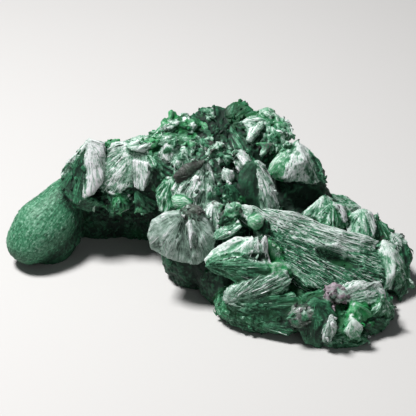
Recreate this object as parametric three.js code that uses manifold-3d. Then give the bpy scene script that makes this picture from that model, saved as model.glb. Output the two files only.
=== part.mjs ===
// A hand specimen of fibrous malachite, grown as one piece and modelled as one solid.
//
// The mineral grew outwards from many small centres. Each centre made a fan, a leaf or a lobe of fibres. The
// fans and leaves have flat faces and sharp edges and are made here as blocks, each the tightest solid around
// its corners. The rounded lobes start narrow at the root, widen and end in a blunt tip. All of them stand on
// a rough heart and run into each other, so the solid is the union of them all, cut off flat where it rests.
//
// Units are millimetres and +Z is up. X runs along the specimen, from the smooth foot at the low end to the
// frilled rim at the high end. -Y is the side with the long silky field, the scallop and the hollow behind
// the foot. The origin is the middle of the bounding box's base.

import * as THREE from "three";
import { ConvexGeometry } from "three/addons/geometries/ConvexGeometry.js";
import { mergeVertices } from "three/addons/utils/BufferGeometryUtils.js";
import Module from "manifold-3d";

const SPECIMEN_LENGTH = 82; // along X, which the whole specimen is scaled to
const RESTING_HEIGHT = 0; // the layout's height at which the specimen is cut off flat
const BACK_SHARE = 0.72; // how wide a block's back is, as a share of its front
const VIEWED = [0, -0.7, 0.7]; // the way the fronts of all blocks look, give or take a right angle
const COLOUR = 0x3f7f5a;
const ROUGHNESS = 0.6;

// How each kind of lobe fills its length. `widest` is where along the lobe it is widest, as a share of its
// length, and `fullness` is how blunt its ends are: 0.5 is an ellipse and 1 has pointed ends.
const HABITS = {
  drop: { widest: 0.72, fullness: 0.42, sides: 16, rings: 9 },
  egg: { widest: 0.6, fullness: 0.55, sides: 12, rings: 7 },
  shell: { widest: 0.6, fullness: 0.5, sides: 10, rings: 6 },
  spray: { widest: 0.66, fullness: 0.72, sides: 7, rings: 5 },
};

// The rough heart: [middle, half sizes].
const HEART = [
  [[17, -7, 3.5], [17, 12, 6]],
  [[13, -16, 3], [12, 8, 5]],
  [[27, -16, 2], [9, 7, 4]],
  [[4, 0, 10], [11, 11, 10.5]],
  [[2, 3, 17.5], [10, 7.5, 8]],
  [[31, -3, 5], [8, 6, 5]],
  [[6, 9, 18], [10, 6, 8]],
  [[-8, 7, 18], [8, 5.5, 7]],
  [[-19, 8, 18], [7, 3.5, 5]],
  [[17, 5, 11], [8.5, 6, 8]],
  [[8, 13, 8], [17, 8, 9]],
  [[-2, -3.5, 5], [7.5, 6, 8]],
  [[5, -9.5, 3.5], [7, 6.5, 6.5]],
  [[-8, 13, 3], [8, 6.5, 14]],
  [[-15.5, 13.5, 4], [6, 5, 13]],
  [[-22.5, 14, 3], [7, 5.5, 14]],
];

// The lobes, region by region. `faces` is the way the broad side of each lobe in the region looks.
// A lobe is [name, habit, root, tip, width, thickness].
const REGIONS = [
  {
    faces: [-0.5, -0.6, 0.6],
    lobes: [
      ["foot", "drop", [-21.2, 15, 18.2], [-39.2, -2.4, 2.8], 11.4, 11],
      ["foot_edge", "egg", [-28, 9.5, 14.5], [-40.6, 2, 4], 5.5, 7],
      ["foot_heel", "egg", [-26, 9, 7], [-34.5, 0.3, -0.5], 8, 8.5],
    ],
  },
  {
    faces: [0, 0.8, 0.5],
    lobes: [
      ["back_ridge", "shell", [-20, 7, 24], [-24, 13, 14], 11, 6],
      ["back_brow", "shell", [-12, 8.5, 24.6], [-15, 16, 14], 12, 7],
      ["back_fan_a", "shell", [-3, 11, 28], [-5, 20, 16], 12, 7],
      ["back_fan_b", "shell", [8, 12, 29], [8, 21, 17], 13, 7],
      ["back_fan_c", "shell", [14, 9, 23], [16, 16.5, 11], 11, 7],
      ["back_fan_d", "shell", [23, 4.5, 13], [29, 8.5, 4], 10, 7],
      ["back_low_a", "egg", [-11, 13, 15], [-14, 19, 1], 11, 9],
      ["back_low_g", "egg", [-21, 12, 16], [-24, 16, 1], 11, 8],
      ["back_low_b", "spray", [-2, 15, 15], [-4, 21, 2], 11, 8],
      ["back_low_c", "egg", [8, 16, 15], [8, 21.5, 1], 12, 9],
      ["back_low_d", "spray", [18, 11, 12], [20, 17, 1], 12, 8],
      ["back_low_e", "spray", [27, 5, 9], [30, 9, 1], 10, 8],
      ["back_low_f", "spray", [33.5, -1, 8], [35, 3, 1], 8, 7],
    ],
  },
];

// The blocks: [name, crown, depth, corners]. The corners go round the front, which rises by the crown in the
// middle, and the block reaches its depth back into the specimen.
const BLOCKS = [
  // ridge
  ["ridge_left", 0.3, 6, [
    [-23.8, 7.8, 25.4], [-30, 6.2, 18.8], [-30, 2.8, 16.4], [-26.4, 0.8, 13.8], [-24.6, 1.4, 15.4],
  ]],
  ["ridge_rim", 0.1, 1.5, [
    [-23.6, 7.4, 26], [-23.2, 6.8, 25.4], [-29.2, 5.2, 18.8], [-30, 5.8, 18], [-30, 5.4, 19.4],
  ]],
  ["ridge_belly", 0.5, 4, [
    [-29.8, 3.6, 15.8], [-24.2, 1.4, 15.6], [-20.6, 3.2, 12.4], [-23.2, 2.2, 11.2], [-26.8, 2, 12.4],
  ]],
  ["ridge_stripe", 0.4, 5, [
    [-23.8, 7.2, 25.8], [-20.8, 6.6, 25.6], [-20.6, 5.2, 22], [-21.2, 3.4, 18], [-23.2, 1.6, 15.8],
    [-25, 1.2, 15.6], [-24.8, 4.6, 20.6],
  ]],
  ["ridge_groove", 0, 5, [
    [-20.8, 7.6, 25], [-19, 7.2, 24.6], [-20.2, 6.6, 20], [-21.4, 5.6, 16], [-21, 7.2, 20.8],
  ]],
  ["ridge_fall", 0.6, 5, [
    [-14.6, 4.6, 25], [-17, 5.8, 25.6], [-19.4, 6.4, 25.4], [-20.4, 5.2, 20.8], [-21.8, 4.2, 15.6],
    [-19.2, 3.2, 15.6], [-14.8, 2.2, 17.6], [-11.8, 2.4, 22.8], [-12.2, 3.8, 24.4],
  ]],
  ["ridge_right", 0.5, 5, [
    [-15.8, 5.4, 25.2], [-11.4, 4.2, 25], [-10.8, 2.6, 22.4], [-11.8, 0.8, 17.8], [-15.2, 3, 17.4],
  ]],
  ["ridge_patch", 0.3, 2, [
    [-14.8, 3.4, 23.2], [-11.8, 2, 23.6], [-11.6, 0.4, 21.4], [-12.8, -0.8, 18.6], [-15.2, 1.6, 17.8],
  ]],
  ["ridge_under", 0.5, 5, [
    [-20.6, 4.2, 16.6], [-17.6, 3.4, 17], [-14.8, 3.4, 17], [-15.8, 3.2, 13.2], [-19.4, 2.2, 11],
    [-22.4, 4, 12],
  ]],
  ["ridge_nub", 1.2, 4, [
    [-18, 2.8, 15.6], [-20.2, 3.6, 13.6], [-19.6, 2.6, 10.4], [-17.4, 2.2, 10.4], [-15.6, 2.8, 12.6],
    [-16.4, 3, 14.6],
  ]],
  ["ridge_end", 0.8, 5, [
    [-14.8, 2.6, 17], [-11.2, 2.4, 18.2], [-10, 1.6, 15.6], [-11.4, 0.8, 12.4], [-14.6, 1.2, 12],
  ]],
  // brow
  ["brow_plate", 0.3, 6, [
    [-15.8, 4.6, 24.8], [-13.8, 6, 25.8], [-11.2, 7.4, 27], [-8.6, 9.4, 28.4], [-6, 10.6, 28.8],
    [-3.2, 10.4, 28.4], [-0.6, 8.8, 27.6], [-1.6, 5.6, 26], [-6.6, 4.2, 25], [-11.4, 3.2, 23.8],
  ]],
  ["brow_leaf_low", 0.3, 2.6, [[-16.4, 3.8, 26], [-14.2, 5.2, 27.6], [-13.4, 4.2, 27.2], [-14.6, 3.2, 25.6]]],
  ["brow_leaf_mid", 0.3, 3, [
    [-14.6, 3.2, 25.4], [-13.4, 4, 26.4], [-11.2, 4.2, 26.6], [-10.8, 3.6, 26], [-13, 3.2, 25],
  ]],
  ["brow_leaf_top", 0.5, 1.6, [
    [-9.4, 7.8, 28.6], [-7.2, 9.6, 29.4], [-3.6, 9.6, 29.4], [-0.4, 7.8, 28.2], [-2.6, 6.8, 27.8],
    [-6.4, 7.4, 28.6],
  ]],
  ["brow_face", 0.6, 5, [
    [-11.4, 3, 24], [-6.6, 4, 25.2], [-5.4, 2, 23], [-7, 0, 19.6], [-10.6, 0.6, 17.6], [-11.8, 2.2, 20.4],
  ]],
  ["brow_silver", 0.6, 2.5, [
    [-8.2, 3.8, 27], [-6.2, 3.8, 27], [-6, 3.2, 25.2], [-7.8, 1.8, 23.8], [-9.6, 3, 24.2],
  ]],
  ["brow_sage", 0.6, 3, [
    [-5.2, 3.6, 26.6], [-3, 3, 26], [-3.4, 1.6, 24.2], [-5.8, 0.4, 22.8], [-7.6, 1.4, 23.4],
  ]],
  ["brow_moss", 0.8, 3, [[-11.4, 3.4, 24.6], [-9.4, 3, 24], [-8.8, 1, 22], [-10.4, 2, 21], [-11.8, 2, 23.2]]],
  ["cheek", 0.8, 5, [
    [-7, -0.2, 21.8], [-6.2, -2.6, 19], [-6.8, -3.6, 15.6], [-10, -2, 14.2], [-11.2, 0.2, 16.4],
    [-9.6, 0.8, 20],
  ]],
  // crest
  ["crest_dark", 1, 6, [
    [-2.2, 11.8, 29.2], [0, 13.2, 29.8], [2.8, 13.2, 29.8], [3.8, 10.8, 28], [3.4, 5.6, 26], [0, 3.8, 25.8],
    [-2.2, 6.4, 26.4], [-3, 9.2, 28],
  ]],
  ["crest_pale", 0.3, 1.5, [[-0.8, 11.6, 30], [1, 12, 30.4], [1.4, 10.2, 29.4], [-0.2, 9.2, 29]]],
  ["crest_cap", 0.8, 5, [
    [2.6, 12.4, 29.4], [4, 13.4, 30], [5.6, 14.4, 30.4], [7.8, 14, 30], [9.6, 12.2, 28.8],
    [8.8, 10.2, 27.2], [6, 9.6, 27], [3.2, 10.4, 28],
  ]],
  ["crest_fold", 0.5, 2.5, [[6.4, 9.6, 28.4], [9.4, 11.4, 29], [11.2, 10.2, 28], [8.4, 8.2, 27]]],
  ["crest_knob", 1, 4, [
    [10, 11.8, 29.6], [11.6, 12.8, 30], [13.4, 12.4, 29.4], [13.8, 11.2, 28], [12, 10.2, 27.2],
    [10.2, 10.6, 28],
  ]],
  ["crest_grain", 1.2, 6, [
    [10.8, 10.2, 27.4], [14, 12.2, 28.4], [16.6, 11.8, 27.4], [17.4, 9.6, 25.4], [15.6, 6.8, 23.4],
    [12, 5.4, 24], [10, 7.4, 25.8],
  ]],
  ["crest_leaf", 0.4, 1.8, [
    [7.6, 5.4, 26.2], [8.2, 7.6, 28], [11, 8.8, 28.6], [10.6, 7.2, 27.2], [9, 5.2, 25.8],
  ]],
  ["crest_hollow", 0, 5, [
    [3.2, 11.2, 27.4], [7.2, 10, 27], [8.6, 7, 25.2], [6.6, 3.8, 24.6], [3.4, 4.8, 25.2],
  ]],
  ["crest_plum", 0.4, 2, [[10.6, 5, 26], [12.2, 5.6, 26], [12.6, 4.4, 24.4], [11, 4, 24.4]]],
  // centre
  ["pebble_big", 1.2, 3, [
    [5, -0.4, 27.6], [6.6, -0.2, 28], [8.2, -1, 26.8], [8.2, -2.2, 24.8], [6.8, -2.8, 24], [5, -2.6, 25],
  ]],
  ["pebble_mid", 0.3, 2.5, [
    [2.8, -4, 25.6], [4.2, -4, 25.6], [5.2, -4.2, 24], [4.4, -4.8, 22.8], [2.6, -4.4, 23.4],
  ]],
  ["pebble_leaf", 0.6, 2.5, [
    [2.6, -1, 27.2], [4, -0.4, 27.6], [5, -1.4, 26.4], [3.4, -1.8, 25.2], [2.2, -1.2, 26],
  ]],
  ["pebble_left", 0.7, 2.5, [
    [-0.2, 2, 27.4], [1.8, 2.8, 28], [3.2, 1.6, 27], [1.8, 0.4, 25.6], [-0.2, 1.2, 26],
  ]],
  ["purse", 0.9, 4, [
    [4, -5.6, 24], [6, -5.6, 22.6], [6.4, -6.4, 20], [4.8, -7.2, 17.8], [3, -6.8, 18.4], [2.6, -6.2, 21.6],
  ]],
  ["fan_big", 1.2, 5, [
    [-0.2, -1.4, 26.8], [-2.4, -1.6, 25.8], [-5.8, -2, 23], [-7.6, -3.2, 20.4], [-6.4, -4.8, 17.8],
    [-3.6, -6, 16.8], [-0.4, -6.8, 17.6], [1.4, -5.2, 20], [1.6, -3.4, 23],
  ]],
  ["fan_matrix", 0.5, 1.6, [
    [-0.4, -2, 27], [-2.4, -1.4, 26.8], [-4.8, -1.6, 25.6], [-7, -2.6, 23.2], [-6.4, -3.4, 22],
    [-4.6, -3.4, 23], [-2.6, -3, 24.6], [-1, -2.8, 26],
  ]],
  ["fan_cavity", 0.2, 1.2, [
    [1.6, -5, 23.2], [3, -5.2, 21.4], [2.2, -6.2, 18.8], [0.6, -6, 18.4], [0, -5.2, 21],
  ]],
  ["fan_nub", 1, 3, [[-3, -6.4, 19.6], [-5, -5.8, 20.6], [-7.6, -5, 20.4], [-7, -5.8, 18], [-4.2, -6.8, 18]]],
  ["fan_knot", 0.6, 2, [
    [-5.4, -8.8, 20.6], [-3.4, -8.6, 21.2], [-1.6, -9, 21.2], [-0.4, -10.6, 20.4], [-2, -11.6, 19.4],
    [-4.6, -11.2, 19.6],
  ]],
  ["hood_left", 0.8, 5, [
    [9.2, -2.8, 27.4], [7.4, -2.8, 26.6], [5.8, -3.8, 24.4], [5.4, -5.4, 21.6], [7.2, -6.4, 18.4],
    [10.4, -7.2, 17.8], [10.4, -5.4, 22], [10, -3.8, 25.2],
  ]],
  ["hood_right", 0.6, 5, [
    [9.2, -3, 27.4], [11, -3.2, 26.6], [12.4, -4, 24], [13.6, -5.4, 20.8], [14, -6.6, 18], [10.4, -7.6, 18],
    [10.2, -5.6, 22.2],
  ]],
  ["umbrella_left", 0.5, 5, [
    [17.4, 4.6, 27], [14.8, 4.2, 26], [12.6, 2.6, 23.8], [11.6, 1.4, 20.8], [14.6, 0.6, 19.4],
    [16, 1.4, 23.4],
  ]],
  ["umbrella_mid", 0.8, 5, [
    [17.6, 4.2, 27], [16, 1.2, 23.6], [14.8, 0.2, 19.6], [18.6, 0.4, 20], [18.8, 1.6, 24.4],
  ]],
  ["umbrella_right", 0.6, 5, [
    [17.8, 4.4, 27.2], [18.8, 1.8, 24.4], [18.8, 0.6, 19.8], [21.4, 1.2, 18.8], [22.8, 2.4, 19],
    [22, 3.8, 22.4], [20, 4.8, 25.2],
  ]],
  ["umbrella_edge", 0.3, 2, [
    [20, 4, 25.6], [22, 2.8, 23], [23, 2.2, 19.8], [23.2, 1, 18.2], [22, 1.8, 19.8],
  ]],
  ["grotto", 1.5, 5, [
    [19, 7, 16.4], [15.2, 4.8, 16.4], [14.2, 2, 15], [15.6, -0.6, 13], [18.4, -1.4, 12.4], [21.6, 0.4, 13],
    [23.8, 3.6, 14.4], [22.2, 4.8, 16],
  ]],
  ["slope", 0.3, 4, [
    [22.8, -1, 18.4], [24.8, -1.2, 17.2], [22.2, -5.4, 15.2], [18.8, -5.6, 15.8], [18.4, -5.2, 16.4],
  ]],
  // rim
  ["rim_a", 0.8, 5, [
    [24.6, -2.2, 17.2], [27.4, -1.8, 15.8], [28.4, -3, 14.2], [27, -5, 12.4], [24, -6.8, 12.6],
    [21.2, -6.8, 14.4], [22, -4.2, 16.4],
  ]],
  ["rim_a_edge", 0.2, 1.2, [
    [24.8, -3, 17.6], [26.2, -3.2, 17], [27.6, -4.8, 14.4], [26.8, -5.4, 14.2], [25.6, -4.2, 16],
  ]],
  ["rim_b", 0.8, 5, [
    [30.6, -1.6, 15.4], [32, -2, 15], [33.4, -2.8, 13], [33.6, -5.8, 10.8], [30.4, -7, 10.6],
    [27.6, -5.8, 12.4], [28, -3.6, 14.6],
  ]],
  ["rim_b_edge", 0.2, 1.2, [
    [31.2, -2.6, 15.8], [32.2, -2.8, 15.4], [33.4, -4.4, 12.8], [33, -6.2, 11.2], [32, -4.8, 13.6],
  ]],
  ["rim_c", 0.6, 5, [
    [33.2, -1.2, 13.6], [35.4, -2, 12], [36.8, -3.4, 10.4], [35.8, -5.6, 9.2], [33.6, -5.6, 10],
    [32.8, -4, 12],
  ]],
  ["rim_d", 0.7, 4, [
    [36, -2.8, 11.4], [38.2, -3.2, 9.8], [39.8, -4.2, 8.4], [38.6, -6.2, 7.2], [36.2, -6.4, 8.8],
  ]],
  ["rim_e", 0.6, 4, [[38.4, -4, 9.4], [40.4, -4.8, 7.6], [41, -5.8, 5.8], [39.8, -8.2, 5], [38, -7.2, 7]]],
  ["rim_f", 0.6, 5, [
    [39.4, -7.6, 5.8], [40.6, -7.4, 4.6], [40.4, -9.6, 2], [38, -12.2, 0.6], [36.8, -12.4, 2.2],
  ]],
  ["rim_round", 1.8, 5, [
    [34.8, -6.2, 10.8], [37.4, -6.2, 9], [39, -7.6, 6.4], [39.2, -9.8, 4.2], [37.2, -12.2, 2.6],
    [34.4, -13.6, 4], [33.6, -10.6, 7], [33.4, -8, 9.6],
  ]],
  // field
  ["field_upper", 0.6, 6, [
    [3.6, -10.2, 21.6], [6.4, -9.8, 21.4], [10.4, -8.6, 20], [17.2, -7.4, 17.8], [25.4, -7.2, 14.4],
    [33.8, -7.2, 11], [32.6, -8.4, 9.6], [26.8, -9.6, 11.6], [21.2, -11, 13.4], [14.8, -11.6, 15.8],
    [8, -11.8, 18.8],
  ]],
  ["field_lower", 0.4, 6, [
    [8, -11.2, 18.6], [14.8, -10.6, 15.6], [21.4, -9.8, 12.6], [27.8, -9.4, 10], [34, -7.6, 9.2],
    [37.6, -8.4, 7], [36, -11.8, 5], [29.8, -16, 5.6], [23.4, -18.6, 7.8], [18.8, -20.2, 9.8],
    [17.2, -17, 12.4], [10.6, -14.6, 16.8],
  ]],
  ["field_lip", 0.2, 1.6, [
    [15.8, -12.2, 16], [21.2, -11.4, 14], [26.6, -10, 12], [30.6, -9.4, 10.4], [26.2, -10.8, 10.6],
    [20.8, -11.6, 12.4],
  ]],
  // front
  ["strip", 0.3, 3, [
    [1, -7, 20.8], [2.4, -7.2, 20.2], [2.8, -8.6, 18.2], [2, -11, 16], [0.6, -12, 15], [-0.4, -9.6, 17.4],
    [-0.4, -7.2, 19.6],
  ]],
  ["chip_leaf", 0.4, 2.5, [
    [0.8, -13.8, 16], [2, -12.4, 18], [5.8, -11.6, 19.8], [6.6, -12.6, 19], [4.6, -14, 17.6],
  ]],
  ["chip_top", 0.4, 2.5, [
    [2, -12.4, 19], [3.2, -10.8, 20.6], [6, -10.4, 21.6], [6.4, -11.4, 20.6], [4, -12.4, 19.2],
  ]],
  ["chip_knob", 0.8, 2.5, [
    [7.6, -12.8, 20.6], [9.2, -12, 21], [10.4, -12.4, 20.4], [10.2, -13.4, 19], [8.8, -13.8, 18.4],
    [7.4, -13.4, 19.2],
  ]],
  ["chip_hole", 0, 1.5, [[10.2, -11.8, 19.6], [11.6, -11.8, 19], [11.6, -13.2, 17.4], [10.2, -13.2, 17.6]]],
  ["shell_left", 1.3, 5, [
    [-3.8, -9.6, 20.4], [-8, -9, 19.6], [-10.8, -9.8, 18], [-12, -10.8, 15.6], [-11.2, -11.6, 12.4],
    [-7.4, -13.2, 11], [-3.4, -14, 10.4],
  ]],
  ["shell_right", 1.5, 5, [
    [-4.2, -9.8, 20.4], [-1.2, -10.6, 20], [1, -11.4, 17.8], [1.6, -12.8, 15.2], [0.8, -13.6, 12.4],
    [-2, -14.2, 10.4], [-4, -14, 10.4],
  ]],
  ["shell_stripe", 0.1, 2.2, [
    [-4, -11, 20.8], [-3.6, -11.2, 20.6], [-3, -14, 17.6], [-3.4, -15, 14.4], [-3.6, -15, 14.2],
    [-3.8, -13.2, 17.6],
  ]],
  ["pleat_left", 0.5, 4, [
    [8.4, -15, 18], [5.4, -14.8, 18], [2, -14.8, 15.6], [-0.6, -16, 13.4], [-0.2, -17, 12.2],
    [4.6, -16.8, 14.4], [6.8, -16.2, 15.6],
  ]],
  ["pleat_mid", 0.5, 4, [
    [8.6, -15.8, 18.4], [7.2, -16, 18], [4.6, -17.2, 15], [6.6, -17.6, 13.6], [8.2, -17.2, 15],
  ]],
  ["pleat_right", 0.6, 4, [
    [9.4, -15.8, 18.4], [8.4, -16.6, 17], [7.2, -17.6, 13.6], [9.4, -17.8, 13], [10.4, -17, 15.8],
  ]],
  ["pleat_edge", 0.2, 2, [
    [10.4, -16, 19.4], [11.2, -16.6, 18.8], [11.8, -17.8, 14], [10.6, -18.2, 13.4], [10.2, -17.6, 16.6],
  ]],
  ["pleat_side", 0.5, 4, [[11.6, -15.4, 17.8], [13.8, -15.4, 16], [14.6, -16, 13.4], [12.2, -17.4, 12.8]]],
  ["visor", 1, 5, [
    [-0.8, -17.6, 13], [1.8, -17.8, 15], [6.4, -18, 16], [10.6, -18.4, 15.4], [11.8, -19.2, 13.2],
    [10.2, -19.8, 10.4], [6, -19.8, 10], [1.6, -18.6, 11],
  ]],
  ["visor_curl", 0.8, 4, [
    [9.8, -18.6, 13.4], [12.6, -18, 14.2], [15.6, -17.4, 13.2], [17, -18, 11.6], [14.6, -19.2, 10.6],
    [11, -19.4, 11.4],
  ]],
  ["visor_leaf", 1, 5, [
    [3, -21.4, 7], [3.4, -20.4, 9], [6.8, -20.2, 11], [11.4, -19.8, 12.6], [15, -18.8, 12.8],
    [16.2, -19.6, 11], [14.4, -20.8, 8.6], [10.2, -21.6, 7], [6, -22, 6],
  ]],
  ["lip", 0.8, 5, [
    [3, -20.8, 6], [7, -22.2, 6.8], [11.8, -21.8, 8.8], [16, -21.4, 9.2], [17.6, -22.4, 7.2],
    [15.6, -23, 5], [11.4, -23.4, 3.6], [6.4, -22.4, 4],
  ]],
  ["lip_low", 0.5, 6.5, [
    [6.2, -22.2, 4], [11.4, -23.4, 4.2], [16.2, -23, 5.6], [17.6, -24.6, 4], [14.6, -25, 2],
    [9.6, -24, 2.4],
  ]],
  ["plum_leaf", 0.5, 5, [
    [15.2, -25.4, 6.4], [17, -24.4, 8.4], [19.8, -24.2, 8.4], [20.2, -25.2, 6.6], [17.8, -26.2, 4.8],
    [15.8, -25.6, 4.8],
  ]],
  ["toe", 2, 6, [
    [20, -23, 9.4], [17.6, -24, 7.8], [16.8, -25, 4.2], [18.4, -26.2, 0.8], [21.6, -26.4, -0.2],
    [24.2, -25.2, 1.4], [24.4, -24.4, 5.8], [23, -23.2, 8.6],
  ]],
  ["toe_blade", 0.4, 2, [
    [22.4, -27.2, 8.6], [24, -28, 6.8], [23, -27.8, 1.8], [21.2, -27.6, 2], [21.8, -27.2, 5.2],
  ]],
  ["toe_shard", 0.6, 3, [
    [27, -26, 7.4], [29.2, -26.6, 6], [28.8, -27, 3.4], [26.6, -27.2, 2], [25.6, -27.2, 4],
  ]],
  ["toe_base", 0.5, 4, [
    [22.2, -26.2, 2.4], [25.8, -26.4, 3.6], [29, -26.4, 3], [31, -25.6, 0.8], [27.4, -26.4, -0.4],
    [22.8, -26.4, -0.4],
  ]],
  ["frill_low", 0.6, 4, [
    [33.4, -21.2, 7.6], [35.8, -20.6, 5.8], [34.8, -21.6, 3.4], [31.6, -22.6, 3], [31, -22.4, 6.6],
  ]],
  ["frill_mid", 0.6, 4, [
    [27.2, -22.6, 8.2], [30.2, -22.2, 7.6], [31.2, -23.2, 5.4], [29.2, -24.4, 4.6], [26.6, -24.2, 6],
  ]],
  ["frill_dark", 0.5, 4, [
    [29.8, -24.6, 4.4], [32.8, -22.6, 4.4], [35.4, -21.2, 3.4], [34.2, -22.4, 0.8], [30.6, -24, 0],
  ]],
  ["pink", 0.3, 2, [
    [22, -21.2, 10.4], [24.4, -20.6, 11], [26.4, -21, 10], [26.8, -22, 8.2], [24.6, -23, 7.8],
    [22.2, -22.8, 9],
  ]],
  ["frill_top", 0.8, 4, [
    [25.2, -21.6, 9.4], [27.2, -20.2, 10.6], [30.4, -19.2, 10.6], [33.2, -18.4, 9], [34, -19.6, 6.2],
    [31.2, -21.2, 6], [27.2, -22.4, 7.6],
  ]],
  ["frill_end", 0.4, 2, [
    [31.8, -18.6, 9.6], [33, -18, 9.8], [34.2, -18.8, 8], [34.2, -19.6, 5.6], [32.6, -20.4, 6],
  ]],
  ["frill_gap", 0, 5, [
    [17.4, -21.8, 9], [23.2, -20, 9.4], [26, -21.8, 6.8], [27.4, -23.4, 4.4], [24.6, -24.6, 3],
    [21.2, -24.4, 4.8], [17.8, -22.8, 6.8],
  ]],
];

const LUMP_DETAIL = 1; // how finely a lump of the heart is divided
const CUTTER_SIZE = 400;
const MERGE_DISTANCE = 1e-4;

const wasm = await Module();
wasm.setup();

// A closed geometry as a solid.
function solid(geometry) {
  const bare = new THREE.BufferGeometry().setAttribute("position", geometry.getAttribute("position"));
  bare.setIndex(geometry.getIndex());
  const merged = mergeVertices(bare, MERGE_DISTANCE);
  return new wasm.Manifold(
    new wasm.Mesh({
      numProp: 3,
      vertProperties: merged.getAttribute("position").array,
      triVerts: new Uint32Array(merged.getIndex().array),
    }),
  );
}

// The outline of a lobe one unit long and one unit wide, from its root on the axis to its tip on the axis.
function outline({ widest, fullness, rings }) {
  const bend = Math.log(0.5) / Math.log(widest);
  const points = [new THREE.Vector2(0, 0)];
  for (let i = 1; i < rings; i++) {
    const along = (1 - Math.cos((Math.PI * i) / rings)) / 2;
    points.push(new THREE.Vector2(0.5 * Math.sin(Math.PI * along ** bend) ** fullness, along));
  }
  points.push(new THREE.Vector2(0, 1));
  return points;
}

// A lobe from `root` to `tip`, as wide as `width` across and `thickness` deep towards `faces`.
function lobe(habit, root, tip, width, thickness, faces) {
  const along = new THREE.Vector3().subVectors(tip, root);
  const out = faces.clone().projectOnPlane(along.clone().normalize()).normalize();
  const across = new THREE.Vector3().crossVectors(along, out).normalize();
  const place = new THREE.Matrix4();
  place.makeBasis(across.multiplyScalar(width), along, out.multiplyScalar(thickness));
  place.setPosition(root);
  return new THREE.LatheGeometry(outline(habit), habit.sides).applyMatrix4(place);
}

// The way that the front inside some corners looks.
function front(corners, middle) {
  const looks = new THREE.Vector3();
  corners.forEach((corner, i) => {
    const arm = corner.clone().sub(middle);
    const next = corners[(i + 1) % corners.length].clone().sub(middle);
    looks.add(arm.cross(next));
  });
  looks.normalize();
  return looks.dot(new THREE.Vector3(...VIEWED)) < 0 ? looks.negate() : looks;
}

// A block behind a front of corners: the tightest solid around them, a smaller back and the crown.
function block(crown, depth, places) {
  const corners = places.map((place) => new THREE.Vector3(...place));
  const middle = new THREE.Vector3();
  corners.forEach((corner) => middle.addScaledVector(corner, 1 / corners.length));
  const looks = front(corners, middle);
  const back = corners.map((corner) => {
    return middle.clone().lerp(corner, BACK_SHARE).addScaledVector(looks, -depth);
  });
  const top = middle.clone().addScaledVector(looks, crown);
  return new ConvexGeometry([...corners, ...back, top]);
}

// One lump of the heart.
function lump(middle, halfSizes) {
  return new THREE.IcosahedronGeometry(1, LUMP_DETAIL).scale(...halfSizes).translate(...middle);
}

// The union of the heart, the lobes and the blocks.
function grow() {
  const parts = HEART.map(([middle, halfSizes]) => lump(middle, halfSizes));
  for (const { faces, lobes } of REGIONS) {
    for (const [, habit, root, tip, width, thickness] of lobes) {
      const [from, to, towards] = [root, tip, faces].map((v) => new THREE.Vector3(...v));
      parts.push(lobe(HABITS[habit], from, to, width, thickness, towards));
    }
  }
  for (const [, crown, depth, corners] of BLOCKS) {
    parts.push(block(crown, depth, corners));
  }
  return parts.map(solid).reduce((body, part) => body.add(part));
}

// Everything below the resting height, which is cut away.
function ground() {
  const box = new THREE.BoxGeometry(CUTTER_SIZE, CUTTER_SIZE, CUTTER_SIZE);
  return solid(box.translate(0, 0, RESTING_HEIGHT - CUTTER_SIZE / 2));
}

// A solid as a geometry.
function geometryOf(body) {
  const { vertProperties, numProp, triVerts } = body.getMesh();
  const corners = vertProperties.length / numProp;
  const positions = new Float32Array(corners * 3);
  for (let i = 0; i < corners; i++) {
    positions.set(vertProperties.subarray(i * numProp, i * numProp + 3), i * 3);
  }
  const geometry = new THREE.BufferGeometry();
  geometry.setAttribute("position", new THREE.BufferAttribute(positions, 3));
  return geometry.setIndex(new THREE.BufferAttribute(triVerts, 1));
}

function buildMalachite() {
  const geometry = geometryOf(grow().subtract(ground()));
  geometry.computeBoundingBox();
  const { min, max } = geometry.boundingBox.clone();
  const scale = SPECIMEN_LENGTH / (max.x - min.x);
  geometry.translate(-(min.x + max.x) / 2, -(min.y + max.y) / 2, -min.z).scale(scale, scale, scale);
  geometry.computeVertexNormals();
  const green = new THREE.MeshStandardMaterial({ color: COLOUR, roughness: ROUGHNESS, metalness: 0 });
  const mesh = new THREE.Mesh(geometry, green);
  mesh.name = "malachite";
  return mesh;
}

const specimen = new THREE.Group();
specimen.add(buildMalachite());

export default specimen;
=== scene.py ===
"""The looks of a hand specimen of fibrous malachite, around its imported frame.

The mineral grew outwards from many small centres, so the specimen is made the same way: blocks and lobes of
fibres stand on a rough heart and are fused into one body. Every spot of the body then takes its relief and
its colour from the block or lobe that it belongs to: ribs and fibres run away from where its fibres start.
Fine loose fibres and flakes are laid on top.

Sizes are in millimetres until a piece is finished, which is when it is brought to the frame's place and to
metres.
"""

import logging
import math
from dataclasses import dataclass, field
from enum import Enum

import bpy
import numpy as np
from mathutils import Matrix, Vector
from mathutils.bvhtree import BVHTree


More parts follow.
